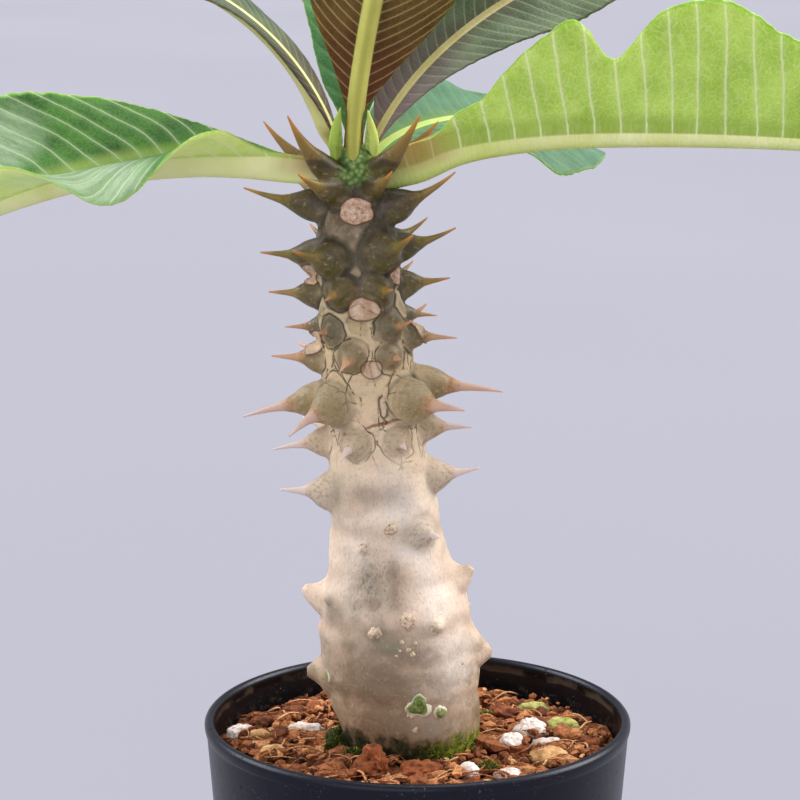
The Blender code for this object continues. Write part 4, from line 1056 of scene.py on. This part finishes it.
# Azimuth, height, radius, how proud, lobes, and tone from 0 for corky cream to 1 for green
SCABS = (
    (6, 125.1, 1.15, 0.9, 3, 0.0), (-24, 121.0, 1.2, 0.8, 0, 0.0), (-61, 109.6, 1.25, 0.9, 5, 0.0),
    (10, 106.7, 1.7, 1.2, 4, 0.0), (-15, 104.1, 1.35, 0.9, 0, 0.0), (31, 104.9, 1.3, 1.3, 0, 0.25),
    (11, 88.8, 2.5, 0.7, 3, 1.0), (5, 87.0, 0.9, 0.4, 0, 0.1), (27, 87.2, 1.4, 1.4, 0, 0.9),
    (7, 83.7, 0.8, 0.6, 3, 0.0), (51, 96.3, 0.5, 0.4, 0, 0.0), (-68, 92.3, 1.5, 0.6, 3, 0.85),
    (4, 102.5, 0.5, 0.5, 0, 0.1), (8, 101.0, 0.55, 0.5, 0, 0.1), (11, 100.0, 0.6, 0.5, 0, 0.1),
    (2, 100.9, 0.45, 0.5, 0, 0.1), (14, 102.2, 0.5, 0.5, 0, 0.1), (-1, 99.8, 0.4, 0.4, 0, 0.1),
    (150, 112.0, 1.4, 1.0, 4, 0.0), (-140, 104.0, 1.5, 1.0, 3, 0.0), (178, 98.0, 1.6, 1.1, 5, 0.1),
    (110, 104.0, 1.2, 0.9, 0, 0.0),
)
scab_table = np.array(SCABS)
scab_ball, scab_faces = ball(3)
scab_middle, scab_out, scab_radius = growth_axes(scab_table)
scab_side = np.cross(scab_out, np.array([0, 0, 1.0]))
turn = np.arctan2(scab_ball[:, 2], scab_ball[:, 0])
lobe_count = scab_table[:, 4, None]
lobes = 1 + 0.13 * np.cos(lobe_count * turn + 1.2) * (lobe_count > 0)
lumpy = 1 + 0.30 * cloud(scab_ball * 2.2 + np.arange(len(SCABS))[:, None, None] * 9.0, 1.0, 91)
wide = lumpy * scab_table[:, 2, None] * lobes
x, y, z = scab_ball.T
scab_shapes = (
    (scab_middle + scab_out * (scab_radius - 0.15)[:, None])[:, None]
    + (x * wide)[..., None] * scab_side[:, None]
    - (y * lumpy * scab_table[:, 3, None])[..., None] * scab_out[:, None]
    + (z * wide)[..., None] * np.array([0, 0, 1.0]))
cork = Finish("scab_cork", Specular_IOR_Level=0.35)
cork_tone = cork.ramp(
    cork.noise(0.7, 4, 0.75), (0.34, (124, 84, 54)), (0.46, (196, 168, 136)), (0.62, (228, 210, 188)))
cork.colour = cork.ramp(
    cork.noise(0.8, 4, 0.7), (0.36, (72, 86, 32)), (0.54, (120, 134, 66)), (0.68, (172, 182, 122)))
cork.coat((226, 222, 196), cork.between(cork.own("from_middle")[0], 0.70, 0.92))
cork.colour = cork.mix(cork.own("how_green")[0], cork_tone, cork.colour)
cork.relief(cork.noise(0.45, 4, 0.7), 0.12)
scab_points, scab_mesh_faces = together(scab_shapes, scab_faces)
scabs = new_piece(
    "healed_scabs", scab_points, scab_mesh_faces, cork.done(0.75),
    how_green=np.repeat(scab_table[:, 5], len(scab_ball)), from_middle=np.tile(np.hypot(x, z), len(SCABS)))
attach(scabs, "root")
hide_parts("trunk")


# Moss creeps up the foot of the stem and sits in cushions on the bed: thousands of short green
# spikes on low mounds, brighter on the right of the foot where more light falls.

# Middle x and y, half-length, half-width, half-height, turn in degrees, how proud the mound lies
MOSS_MOUNDS = (
    (-16.4, -3.4, 4.2, 3.0, 3.0, 60, 1.8), (-12.6, -10.0, 3.2, 2.0, 2.0, 150, 1.0),
    (14.4, -18.4, 2.4, 2.0, 2.0, 0, 1.0), (-0.8, -33.0, 2.4, 1.5, 1.2, 0, 0.8),
    (14.5, 16.0, 3.4, 2.4, 1.8, 45, 0.8),
)
CLIMBING_SPIKES = 2600
MOUND_SPIKES = 300
moss_draw = np.random.default_rng(72)
climb_turn = moss_draw.uniform(-180, 180, CLIMBING_SPIKES)
climb = 1.6 + 3.0 * np.exp(-((climb_turn - 38) / 34) ** 2) + 2.6 * np.exp(-((climb_turn + 78) / 24) ** 2)
climb *= moss_draw.beta(1.1, 1.8, CLIMBING_SPIKES) * (1 + 0.5 * np.sin(np.radians(climb_turn * 7)))
climb_height = 75.0 + climb
climb_middle, climb_out, climb_radius = growth_axes(np.stack([climb_turn, climb_height], 1))
climb_spots = climb_middle + climb_radius[:, None] * climb_out
climb_tone = 0.28 + 0.42 * np.exp(-((climb_turn - 40) / 30) ** 2)
climb_tone += 0.15 * np.exp(-((climb_turn + 84) / 14) ** 2)
mounds = np.array(MOSS_MOUNDS)
which = np.repeat(np.arange(len(mounds)), MOUND_SPIKES)
dome = unit(moss_draw.normal(0, 1, (len(which), 3)))
dome[:, 2] = np.abs(dome[:, 2])
mound_turn = np.radians(mounds[which, 5])
stretched, leaning = (
    laid(vectors[:, None], 0 * vectors, mound_turn, 0 * mound_turn)[:, 0]
    for vectors in (dome * mounds[which, 2:5], unit(dome / mounds[which, 2:5])))
mound_top = soil_top(mounds[:, 0], mounds[:, 1]) + mounds[:, 6] - mounds[:, 4] * 0.35
mound_spots = stretched + np.stack([mounds[:, 0], mounds[:, 1], mound_top], 1)[which]
spike_spots = np.concatenate([climb_spots, mound_spots])
spike_out = np.concatenate([climb_out + (0, 0, 0.5), leaning])
spike_out = unit(spike_out + moss_draw.normal(0, 0.25, spike_spots.shape))
spike_side = unit(np.cross(spike_out, moss_draw.normal(0, 1, spike_spots.shape)))
spike_cross = np.cross(spike_out, spike_side)
spike_ring = np.cos(triangle)[:, None] * spike_side[:, None]
spike_ring = spike_ring + np.sin(triangle)[:, None] * spike_cross[:, None]
spike_wide = moss_draw.uniform(0.10, 0.22, len(spike_spots))[:, None]
spike_long = moss_draw.uniform(0.35, 0.95, len(spike_spots))[:, None]
spike_foot = (spike_spots - 0.15 * spike_out)[:, None] + spike_wide[..., None] * spike_ring
spike_tips = spike_spots + spike_long * spike_out
spike_shapes = np.concatenate([spike_foot, spike_tips[:, None]], 1)
spike_points, spike_faces = together(spike_shapes, np.array([[0, 2, 1], [0, 1, 3], [1, 2, 3], [2, 0, 3]]))
spike_tone = np.concatenate([climb_tone, np.full(len(which), 0.42)])
spike_tone += moss_draw.normal(0, 0.16, len(spike_spots))
moss = Finish("moss_green", Specular_IOR_Level=0.25, Subsurface_Weight=0.15, Subsurface_Scale=0.0008)
moss.colour = moss.ramp(
    moss.ragged(moss.own("tone")[0], 0.6, 1.6, 4, 0.7),
    (0.05, (12, 16, 3)), (0.35, (44, 56, 8)), (0.62, (104, 122, 18)), (0.90, (176, 186, 66)))
moss.relief(moss.noise(0.4, 3), 0.15)
moss_finish = moss.done(0.8)
mound_points, mound_faces = rough_lumps(MOSS_MOUNDS, 71, 0.25, 0.5)
for name, points, faces, tone in (
    ("moss_spikes", spike_points, spike_faces, np.repeat(np.clip(spike_tone, 0, 1), 4)),
    ("moss_mounds", mound_points, mound_faces, np.full(len(mound_points), 0.3)),
):
    mossy_piece = new_piece(name, points, faces, moss_finish, tone=tone)
    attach(mossy_piece, "root")
    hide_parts("soil")


# The leaves are waved blades on a keeled midrib that narrows to a stalk at the crown. Each has its
# own colours: old ones are green with pale veins, three of the younger ones are flushed with maroon
# or purple, and the two smallest are pale yellow-green.
BLADE = 0.7
STALK_SUNK = 4.5
STALK_ROWS = 6
RIB_COLUMNS = 8

# Each leaf has the four corners of its midrib's Bezier curve, the way its upper side faces and the
# keel's depth from stalk to tip. Each half of the blade has its widths and its tilts in degrees from
# stalk to tip, and the two halves are alike where only one is given. The net has so many rows, and
# columns to a half. Veins have a spacing, a lean, a curl and a strength. The rib has its half-width,
# and its colour reaches out to rib_top on the upper side and rib_edge on the under side, in units of
# that. Upper and under side have a dark, a light and a vein colour. The blush reaches so many mm up
# the stalk and the flush up the blade, the flush with its share. A pale painted sheen has its middle
# along and across, its half sizes and its share. Grain is the depth of the fine relief, and netted
# the strength of the finest veins.
LEAVES = {
    "leaf_right": {
        "midrib": ((-7.2, 0.0, 199.3), (12.0, 0.0, 208.0), (70.0, -4.0, 209.0), (133.0, -4.0, 196.0)),
        "face": (0, 0, 1), "keel": (6.0, 6.4, 4.6, 3.8, 3.4, 3.2, 2.8, 2.2, 1.6, 1.1, 0.8),
        "plus": ((1.9, 2.0, 5.5, 11.0, 16.4, 21.0, 23.5, 24.0, 21.0, 13.5, 0.5),
                 (60, 45, 40, 30, 28, 32, 25, 15, 20, 15, 0)),
        "minus": ((1.9, 1.9, 2.0, 2.6, 6.6, 9.0, 15.4, 20.6, 24.2, 15.8, 25.0, 29.3, 28.8, 24.0, 22.0,
                   23.0, 23.0, 19.5, 15.0, 8.5, 0.5),
                  (60, 60, 64, 68, 70, 68, 66, 60, 55, 50, 44)),
        "net": (360, 20), "slot": "leaf_bright", "veins": (5.4, -0.10, 0.0, 0.7),
        "rib_half": 1.9, "rib_edge": 0.78, "blush": (20, (190, 134, 84)), "grain": 0.12, "netted": 0.2,
        "upper": ((120, 146, 70), (150, 178, 92), (214, 222, 168)),
        # The under side and the rib are painted brighter than the leaf's own colour, partly painted light for
        # the glow of light through the thin leaf
        "under": ((168, 194, 73), (199, 220, 106), (234, 240, 186)),
        "rib": ((246, 244, 190), (230, 232, 156)), "stalk": (208, 220, 112), "keel_tone": (186, 206, 84),
        "margin": (110, 158, 58),
    },
    "leaf_left": {
        "midrib": ((-18.4, 0.0, 198.8), (-45.0, -2.0, 202.5), (-78.0, -6.0, 206.0), (-140.0, -14.0, 160.0)),
        "face": (0, 0, 1), "keel": (4.2, 4.6, 4.4, 4.2, 4.0, 3.6, 3.2, 2.6, 1.8, 1.2, 0.8),
        "plus": ((1.9, 1.9, 2.0, 2.8, 6.5, 12.5, 16.5, 19.0, 20.5, 21.5, 22.0, 22.5, 23.0, 23.0, 23.0,
                  22.0, 20.0, 17.0, 13.0, 8.0, 0.5),
                 (40, 38, 36, 34, 33, 29, 21, 10, -3, -12, -11, 4, 18, 24, 26, 25, 18, 0, -10, 0, 0)),
        "minus": ((1.9, 2.0, 6.0, 11.8, 18.2, 23.2, 25.3, 24.0, 20.0, 12.5, 0.5),
                  (40, 27, 29, 30, 32, 37, 46, 50, 44, 30, 10)),
        "net": (360, 20), "slot": "leaf_green", "veins": (4.6, 0.45, 0.012, 0.5),
        "rib_half": 1.9, "blush": (12, (178, 124, 94)), "grain": 0.03,
        "rib_top": 0.45, "painted_sheen": ((50, 13, 18, 13, 0.6), (70, -15, 18, 13, 0.65), (88, -14, 20, 14, 0.5)),
        "upper": ((32, 82, 14), (72, 124, 38), (190, 210, 160)),
        # The under side, rib, stalk and keel are painted brighter than the leaf's own colour, partly painted
        # light on an underside that faces away from the lamps
        "under": ((212, 236, 124), (234, 248, 158), (242, 248, 186)),
        "rib": ((248, 246, 196), (234, 236, 166)), "stalk": (234, 238, 164), "keel_tone": (216, 230, 122),
        "margin": (150, 190, 80),
    },
    "leaf_upper_left": {
        "midrib": ((-16.0, 0.4, 202.4), (-19.0, 1.0, 213.5), (-36.0, 3.0, 247.0), (-84.0, 6.0, 238.0)),
        "face": (0.8, 0, 0.6), "keel": (2.2, 3.0, 2.8, 2.4, 2.2, 2.0, 1.8, 1.5, 1.2, 1.0, 0.8),
        "plus": ((1.1, 1.8, 4.0, 6.5, 8.5, 10.0, 11.5, 12.0, 10.5, 6.5, 0.5),
                 (6, -6, -9, -8, -5, -3, -6, -12, -4, 0, 0)),
        "minus": ((1.1, 1.8, 4.0, 6.5, 8.5, 10.0, 11.5, 12.0, 10.5, 6.5, 0.5),
                  (20, 18, 16, 14, 12, 10, 14, 20, 12, 8, 0)),
        "net": (250, 16), "slot": "leaf_young", "veins": (2.6, 0.5, 0.02, 0.45),
        "rib_half": 1.3, "blush": (5, (150, 128, 70)), "flush": (34, (88, 66, 60), 0.75),
        "upper": ((54, 66, 50), (88, 100, 78), (140, 150, 124)),
        "under": ((128, 140, 70), (164, 172, 100), (190, 190, 140)),
        "rib": ((236, 226, 178), (216, 208, 150)), "stalk": (206, 206, 128), "keel_tone": (190, 190, 104),
        "margin": (84, 38, 42),
    },
    "leaf_front": {
        "midrib": ((-13.1, -1.7, 203.2), (-12.4, -6.5, 225.0), (-1.5, -14.0, 262.0), (5.0, -36.0, 297.0)),
        "face": (0, 1, 0.25), "keel": (3.4, 3.4, 3.2, 3.0, 2.8, 2.6, 2.2, 1.8, 1.4, 1.0, 0.8),
        "plus": ((1.9, 2.1, 7.5, 14.0, 19.0, 21.0, 21.5, 20.0, 16.0, 10.0, 0.5),
                 (20, 20, 24, 24, 22, 18, 22, 16, 20, 10, 0)),
        "minus": ((1.9, 2.1, 6.2, 12.0, 17.0, 20.0, 21.0, 20.0, 16.0, 10.0, 0.5),
                  (20, 20, 24, 24, 24, 20, 16, 22, 14, 10, 0)),
        "net": (360, 16), "slot": "leaf_maroon", "veins": (2.15, 0.42, 0.014, 0.75),
        "rib_half": 1.65, "blush": (12, (128, 104, 40)), "flush": (34, (88, 32, 22), 0.66),
        "upper": ((60, 84, 46), (84, 108, 58), (140, 156, 90)),
        "under": ((78, 54, 23), (112, 88, 42), (172, 148, 88)),
        "rib": ((208, 204, 116), (186, 182, 92)), "stalk": (182, 178, 88), "keel_tone": (168, 166, 74),
        "margin": (40, 54, 26),
    },
    "leaf_upper_right": {
        "midrib": ((-9.3, 2.2, 202.4), (-4.0, 6.0, 214.0), (12.0, 12.0, 237.0), (62.0, 24.0, 246.0)),
        "face": (-0.2, -1, 0.35), "keel": (2.0, 2.8, 2.6, 2.2, 2.0, 1.8, 1.6, 1.4, 1.2, 1.0, 0.8),
        "plus": ((1.1, 2.0, 5.0, 8.0, 10.5, 12.5, 13.5, 13.5, 11.5, 7.5, 0.5),
                 (15, 20, 22, 22, 18, 16, 20, 14, 10, 6, 0)),
        "minus": ((1.1, 1.5, 2.9, 4.4, 6.0, 8.2, 10.6, 12.0, 11.0, 7.5, 0.5),
                  (10, 12, 12, 14, 10, 12, 16, 10, 12, 6, 0)),
        "net": (250, 16), "slot": "leaf_young", "veins": (2.5, 0.5, 0.02, 0.45),
        "rib_half": 1.0, "blush": (5, (150, 128, 70)), "flush": (34, (130, 106, 112), 0.75),
        "upper": ((78, 90, 68), (112, 127, 96), (160, 168, 136)),
        "under": ((110, 88, 72), (134, 126, 84), (180, 176, 130)),
        "rib": ((220, 204, 158), (194, 178, 124)), "stalk": (206, 196, 124), "keel_tone": (196, 186, 112),
        "margin": (66, 40, 44),
    },
    "leaf_back_right": {
        "midrib": ((-9.6, 5.0, 199.0), (-5.0, 18.0, 207.0), (22.0, 46.0, 210.0), (42.0, 88.0, 190.0)),
        "face": (0, 0, 1), "keel": (2.6, 3.4, 3.2, 2.8, 2.6, 2.4, 2.0, 1.6, 1.3, 1.0, 0.8),
        "plus": ((1.4, 3.4, 7.5, 11.0, 14.5, 17.0, 18.0, 17.0, 14.0, 8.5, 0.5),
                 (25, 26, 30, 28, 30, 26, 28, 22, 26, 14, 0)),
        "minus": ((1.4, 3.0, 6.5, 10.5, 14.5, 18.5, 21.5, 20.5, 16.0, 9.5, 0.5),
                  (20, 5, -4, -10, -14, -22, -32, -28, -28, -14, 0)),
        "net": (180, 16), "slot": "leaf_green", "veins": (4.2, 0.45, 0.014, 0.3),
        "rib_half": 1.3, "blush": (4, (150, 130, 80)),
        "upper": ((64, 104, 76), (92, 130, 98), (126, 156, 122)),
        "under": ((142, 180, 76), (168, 200, 98), (190, 210, 140)),
        "rib": ((206, 216, 140), (176, 198, 100)), "stalk": (176, 200, 100), "keel_tone": (160, 190, 84),
        "margin": (140, 180, 80),
    },
    "leaf_back": {
        "midrib": ((-12.7, 4.3, 202.2), (-14.6, 11.0, 221.0), (-13.0, 27.0, 246.0), (-10.0, 62.0, 262.0)),
        "face": (0, -1, 0.4), "keel": (2.2, 2.8, 2.6, 2.4, 2.2, 2.0, 1.8, 1.5, 1.2, 1.0, 0.8),
        "plus": ((1.2, 3.0, 6.2, 8.0, 10.0, 12.5, 14.5, 14.5, 12.5, 8.0, 0.5),
                 (20, 18, 14, 12, 16, 10, 18, 10, 16, 8, 0)),
        "minus": ((1.2, 3.0, 6.2, 8.0, 10.0, 12.5, 14.5, 14.5, 12.5, 8.0, 0.5),
                  (15, 12, 16, 10, 14, 16, 8, 16, 8, 8, 0)),
        "net": (180, 16), "slot": "leaf_green", "veins": (3.6, 0.45, 0.016, 0.3),
        "rib_half": 1.1, "blush": (4, (150, 130, 80)),
        "upper": ((58, 104, 60), (86, 134, 80), (130, 166, 116)),
        "under": ((110, 146, 70), (140, 172, 90), (184, 202, 140)),
        "rib": ((200, 208, 140), (160, 180, 96)), "stalk": (170, 190, 90), "keel_tone": (150, 176, 76),
        "margin": (110, 150, 70),
    },
    "young_leaf_left": {
        "midrib": ((-16.8, -2.6, 201.6), (-17.0, -2.9, 204.6), (-16.4, -2.9, 207.8), (-15.4, -2.8, 210.4)),
        "face": (0.5, 0.8, 0), "keel": (1.2, 1.4, 1.3, 1.1, 1.0, 0.8),
        "plus": ((1.2, 1.6, 1.35, 0.95, 0.5, 0.05), (30, 30, 30, 25, 20, 10)),
        "net": (70, 6), "slot": "leaf_bud", "veins": (1.6, 0.6, 0.0, 0.1),
        "rib_half": 0.7, "blush": (1, (150, 160, 70)),
        "upper": ((140, 172, 60), (178, 200, 92), (214, 224, 150)),
        "under": ((132, 172, 60), (176, 202, 96), (216, 226, 160)),
        "rib": ((214, 222, 130), (180, 200, 94)), "stalk": (170, 196, 86), "keel_tone": (150, 184, 70),
        "margin": (206, 216, 130),
    },
    "young_leaf_right": {
        "midrib": ((-9.2, -1.6, 201.2), (-9.0, -1.9, 204.2), (-9.6, -2.0, 207.2), (-10.4, -2.0, 209.8)),
        "face": (-0.5, 0.8, 0), "keel": (1.2, 1.4, 1.3, 1.1, 1.0, 0.8),
        "plus": ((1.2, 1.6, 1.45, 1.0, 0.5, 0.05), (30, 30, 30, 25, 20, 10)),
        "net": (70, 6), "slot": "leaf_bud", "veins": (1.6, 0.6, 0.0, 0.1),
        "rib_half": 0.7, "blush": (1, (150, 160, 70)),
        "upper": ((150, 180, 66), (196, 212, 110), (222, 230, 160)),
        "under": ((164, 190, 76), (210, 220, 124), (232, 236, 180)),
        "rib": ((226, 230, 150), (196, 208, 106)), "stalk": (200, 212, 112), "keel_tone": (180, 200, 90),
        "margin": (220, 226, 150),
    },
}


def even_read(values, wanted):
    """The same smooth curve for values that stand at even steps from 0 to 1."""
    column = np.asarray(values, float)[:, None]
    return smooth_read(np.linspace(0, 1, len(column)), column, wanted)[..., 0]


def leaf_frame(leaf, s):
    """The midrib's points, the leaf's upward direction there and the one across. Below s = 0 the
    stalk runs straight on into the crown."""
    p0, p1, p2, p3 = (np.array(point, float) for point in leaf["midrib"])
    u = np.clip(s, 0, 1)[:, None]
    middle = (1 - u) ** 3 * p0 + 3 * u * (1 - u) ** 2 * p1 + 3 * u * u * (1 - u) * p2 + u ** 3 * p3
    middle += 3 * np.minimum(s, 0)[:, None] * (p1 - p0)
    ahead = unit((1 - u) ** 2 * (p1 - p0) + 2 * u * (1 - u) * (p2 - p1) + u * u * (p3 - p2))
    face = np.array(leaf["face"], float)
    upward = unit(face - (ahead @ face)[:, None] * ahead)
    return middle, upward, np.cross(upward, ahead)


def leaf_sheet(leaf, s, seed, steps):
    """The upper side as a net with a row for each s from stalk to tip. Each half leaves the midrib at
    its mean tilt and bends to its margin's own tilt: width times (r(1-r) root direction + r*r margin
    direction), with r from 0 at the midrib to 1 at the margin. Some columns of each half lie on the
    rib. Returns the points, each one's distance from the midrib, its r and the rib's half-width, and
    each row's upward direction."""
    middle, upward, across = leaf_frame(leaf, s)
    on_leaf = np.clip(s, 0, 1)
    nets = []
    for half, sign in (("plus", 1), ("minus", -1)):
        widths, tilts = leaf.get(half, leaf["plus"])
        ripple = np.stack([s * 900 + sign * 50, 0 * s, 0 * s], -1)
        uneven = 0.012 * cloud(ripple, 9.0, seed) + 0.008 * cloud(ripple, 3.5, seed + 1)
        width = even_read(widths, on_leaf) * (1 + uneven)
        rib = np.minimum(leaf["rib_half"], 0.75 * width)[:, None]
        on_rib = rib * np.sin(np.linspace(0, math.pi / 2, RIB_COLUMNS + 1))
        away = np.concatenate([on_rib, rib + (width[:, None] - rib) * np.linspace(0, 1, steps + 1)[1:]], 1)
        r = (away / width[:, None])[..., None]
        margin = np.radians(even_read(tilts, on_leaf))
        root = np.radians(np.mean(tilts))
        at_root = (sign * across * np.cos(root) + upward * np.sin(root))[:, None]
        at_margin = (sign * across * np.cos(margin)[:, None] + upward * np.sin(margin)[:, None])[:, None]
        points = middle[:, None] + width[:, None, None] * (r * (1 - r) * at_root + r ** 2 * at_margin)
        nets.append((points, sign * away, r[..., 0], rib + 0 * away))
    return [np.concatenate([minus[:, :0:-1], plus], 1) for plus, minus in zip(*nets)] + [upward]


def with_ends(net):
    """What skin's points keep: the net's rows, and the mean of the first and of the last one."""
    return np.concatenate([net.reshape(-1, 3), net[:1].mean(1), net[-1:].mean(1)])


def leaf_blade(leaf, seed, rows, steps):
    """A closed leaf. The veins leave the midrib at even steps and curve towards the tip, so a vein's
    number at a point is (distance along the midrib - lean * away - curl * away squared) / spacing.
    The blade is quilted between them. The lower side lies a blade's thickness under the upper one,
    plus the keel's depth times a half ellipse across the rib."""
    first, second = (np.array(point) for point in leaf["midrib"][:2])
    sunk = -STALK_SUNK / (3 * np.linalg.norm(second - first))
    s = np.append(np.linspace(sunk, 0, STALK_ROWS + 1)[:-1], np.linspace(0, 1, rows - STALK_ROWS))
    points, away, r, rib_half, upward = leaf_sheet(leaf, s, seed, steps)
    strides = np.linalg.norm(np.diff(points[:, points.shape[1] // 2], axis=0), axis=1)
    run = np.append(0, np.cumsum(strides))[:, None] - STALK_SUNK
    spacing, lean, curl, _ = leaf["veins"]
    offset = np.where(away > 0, 0.43, 0.0)
    wander = 0.16 * cloud(np.stack([run + 0 * away, away, 0 * away], -1), 11.0, seed + 2)
    number = (run - lean * np.abs(away) - curl * away ** 2) / spacing + offset + wander
    to_vein = np.abs((number + 0.5) % 1 - 0.5)
    facing = unit(np.cross(np.gradient(points, axis=1), np.gradient(points, axis=0)))
    facing *= np.sign((facing * upward[:, None]).sum(-1).mean())
    across_rib = np.abs(away) / rib_half
    off_rib = np.clip((across_rib - 1.0) / 1.2, 0, 1)
    inner = 1 - r ** 8
    puff = 0.05 * spacing * (1 - np.exp(-(to_vein / 0.16) ** 2)) * off_rib * inner
    puff -= 0.25 * np.exp(-(away / 0.7) ** 2)
    points = points + facing * puff[..., None]
    vein_cord = 0.04 * spacing * np.exp(-(to_vein / 0.06) ** 2) * off_rib * inner
    width = np.where(away > 0, away[:, -1:], -away[:, :1])
    thick = BLADE * np.clip(width / 1.6, 0.25, 1) * (0.45 + 0.55 * np.sqrt(1 - np.minimum(r, 1) ** 6))
    thick += vein_cord
    depth = np.maximum(even_read(leaf["keel"], np.clip(s, 0, 1))[:, None], BLADE) - BLADE
    keel = depth * np.sqrt(np.clip(1 - across_rib ** 2, 0, 1))
    lower = points - facing * thick[..., None] - upward[:, None] * keel[..., None]
    rings = np.concatenate([points, lower[:, ::-1]], 1)
    edge = np.clip(1 - (width - np.abs(away)) / 0.5, 0, 1)
    blade = np.stack([run + 0 * away, away, number], -1)
    on_upper_rib = np.clip((leaf.get("rib_top", 0.9) - across_rib) / 0.4, 0, 1)
    on_lower_rib = np.clip((leaf.get("rib_edge", 1.0) + 0.2 - across_rib) / 0.4, 0, 1)
    upper_zone = np.stack([0 * away, edge, on_upper_rib], -1)
    lower_zone = np.stack([0 * away + 1, edge, on_lower_rib], -1)
    blade = np.concatenate([blade, blade[:, ::-1]], 1)
    zones = np.concatenate([upper_zone, lower_zone[:, ::-1]], 1)
    return *skin(rings), with_ends(blade), with_ends(zones)


def leaf_finish(name, leaf):
    """Upper and under side each run between two greens, with paler veins, a net of finer veins, a
    light midrib and a thin margin of its own colour. Some have a flush on the blade, some a pale
    painted sheen, and all a brownish blush beside the rib of the stalk. Noise is laid out flat on the blade."""
    green = Finish(name, Specular_IOR_Level=0.18, Subsurface_Weight=0.4, Subsurface_Scale=0.0016,
                   Subsurface_Radius=(0.7, 1.0, 0.3))
    run, away, number = green.own("blade")
    under, at_margin, on_rib = green.own("zones")
    flat_away = green.scaled(away, MM)
    green.place = green.add("CombineXYZ", {0: green.scaled(run, MM), 1: flat_away})
    cloudy = green.noise(9, 4)
    speckle = green.noise(0.55, 3, 0.7)
    to_vein = green.calc("PINGPONG", green.ragged(number, 0.10, 2.0, 3), 0.5)
    spacing, _, _, strength = leaf["veins"]
    broad = green.between(to_vein, 0.30, 0.0)
    vein = green.between(to_vein, 0.03 + 0.20 / spacing, 0.05 / spacing)
    net = green.between(green.cells(1.1, "DISTANCE_TO_EDGE", (1, 0.6, 1)), 0.12, 0.02)
    patchy = green.calc("ADD", green.scaled(cloudy, 0.6), green.scaled(speckle, 0.4))
    sides = []
    for dark, light, pale in (leaf["upper"], leaf["under"]):
        green.colour = green.ramp(patchy, (0.38, dark), (0.60, light))
        green.coat(pale, broad, 0.25 * strength)
        green.coat(pale, net, leaf.get("netted", 0.05))
        green.coat(pale, vein, strength)
        sides.append(green.colour)
    blade_colour = green.mix(under, *sides)

    rib = leaf["rib_half"]
    from_rib = green.calc("ABSOLUTE", away)
    green.colour = green.ramp(cloudy, (0.35, leaf["rib"][1]), (0.6, leaf["rib"][0]))
    green.coat(leaf["stalk"], green.between(run, 55, 15), 0.6)
    green.coat(leaf["keel_tone"], under, green.between(from_rib, 0.7 * rib, 0.0), 0.45)
    rib_colour, green.colour = green.colour, blade_colour
    # Painted shade: the blade is painted darker in a band beside the raised rib
    rib_crease_shade = tuple(int(0.82 * part) for part in leaf["under"][0])
    green.coat(rib_crease_shade, green.between(from_rib, rib + 3.5, rib), 0.45, green.scaled(vein, -0.8, 1))
    green.coat(rib_colour, green.between(on_rib, 0.30, 0.55))
    green.coat(leaf["margin"], green.between(at_margin, 0.3, 0.8), 0.5)

    if "flush" in leaf:
        reach, colour, share = leaf["flush"]
        flushed = green.between(green.ragged(run, 15, 4, 3, 0.55, (0.3, 1, 1)), reach, 0.3 * reach)
        green.coat(colour, flushed, share, green.between(on_rib, 0.3, 0.0), green.scaled(vein, -0.6, 1))
    along_veins = green.add("CombineXYZ", {0: green.scaled(number, spacing * MM), 1: flat_away})
    streaky = green.between(green.noise(2.4, 5, 0.7, (1, 0.2, 1), along_veins), 0.36, 0.66, 0.45, 1.0)
    # Painted sheen: pale streaky patches where light glares on the blade
    for middle, aside, half_length, half_width, share in leaf.get("painted_sheen", ()):
        off_run = green.scaled(run, 1 / half_length, -middle / half_length)
        off_away = green.scaled(away, 1 / half_width, -aside / half_width)
        far = green.scaled(off_run, off_run, green.times(off_away, off_away))
        green.coat((204, 220, 190), green.between(far, 1.0, 0.1), streaky, share)
    reach, colour = leaf["blush"]
    blushed = green.between(green.ragged(run, 10, 4, 3, 0.55, (0.3, 1, 1)), reach, 0.25 * reach)
    beside_rib = green.band(from_rib, 0.35 * rib, 0.85 * rib, rib + 0.4, rib + 1.6)
    green.coat(colour, blushed, beside_rib, 0.75)
    green.relief(green.scaled(net, -0.5, speckle), leaf.get("grain", 0.05))
    return green.done(green.blend(under, 0.48, 0.62))


for order, (name, leaf) in enumerate(LEAVES.items()):
    points, faces, blade, zones = leaf_blade(leaf, 80 + 5 * order, *leaf["net"])
    finish = leaf_finish(name + "_green", leaf)
    piece = new_piece(name + "_blade", points, faces, finish, blade=blade, zones=zones)
    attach(piece, "root")
    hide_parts(name)
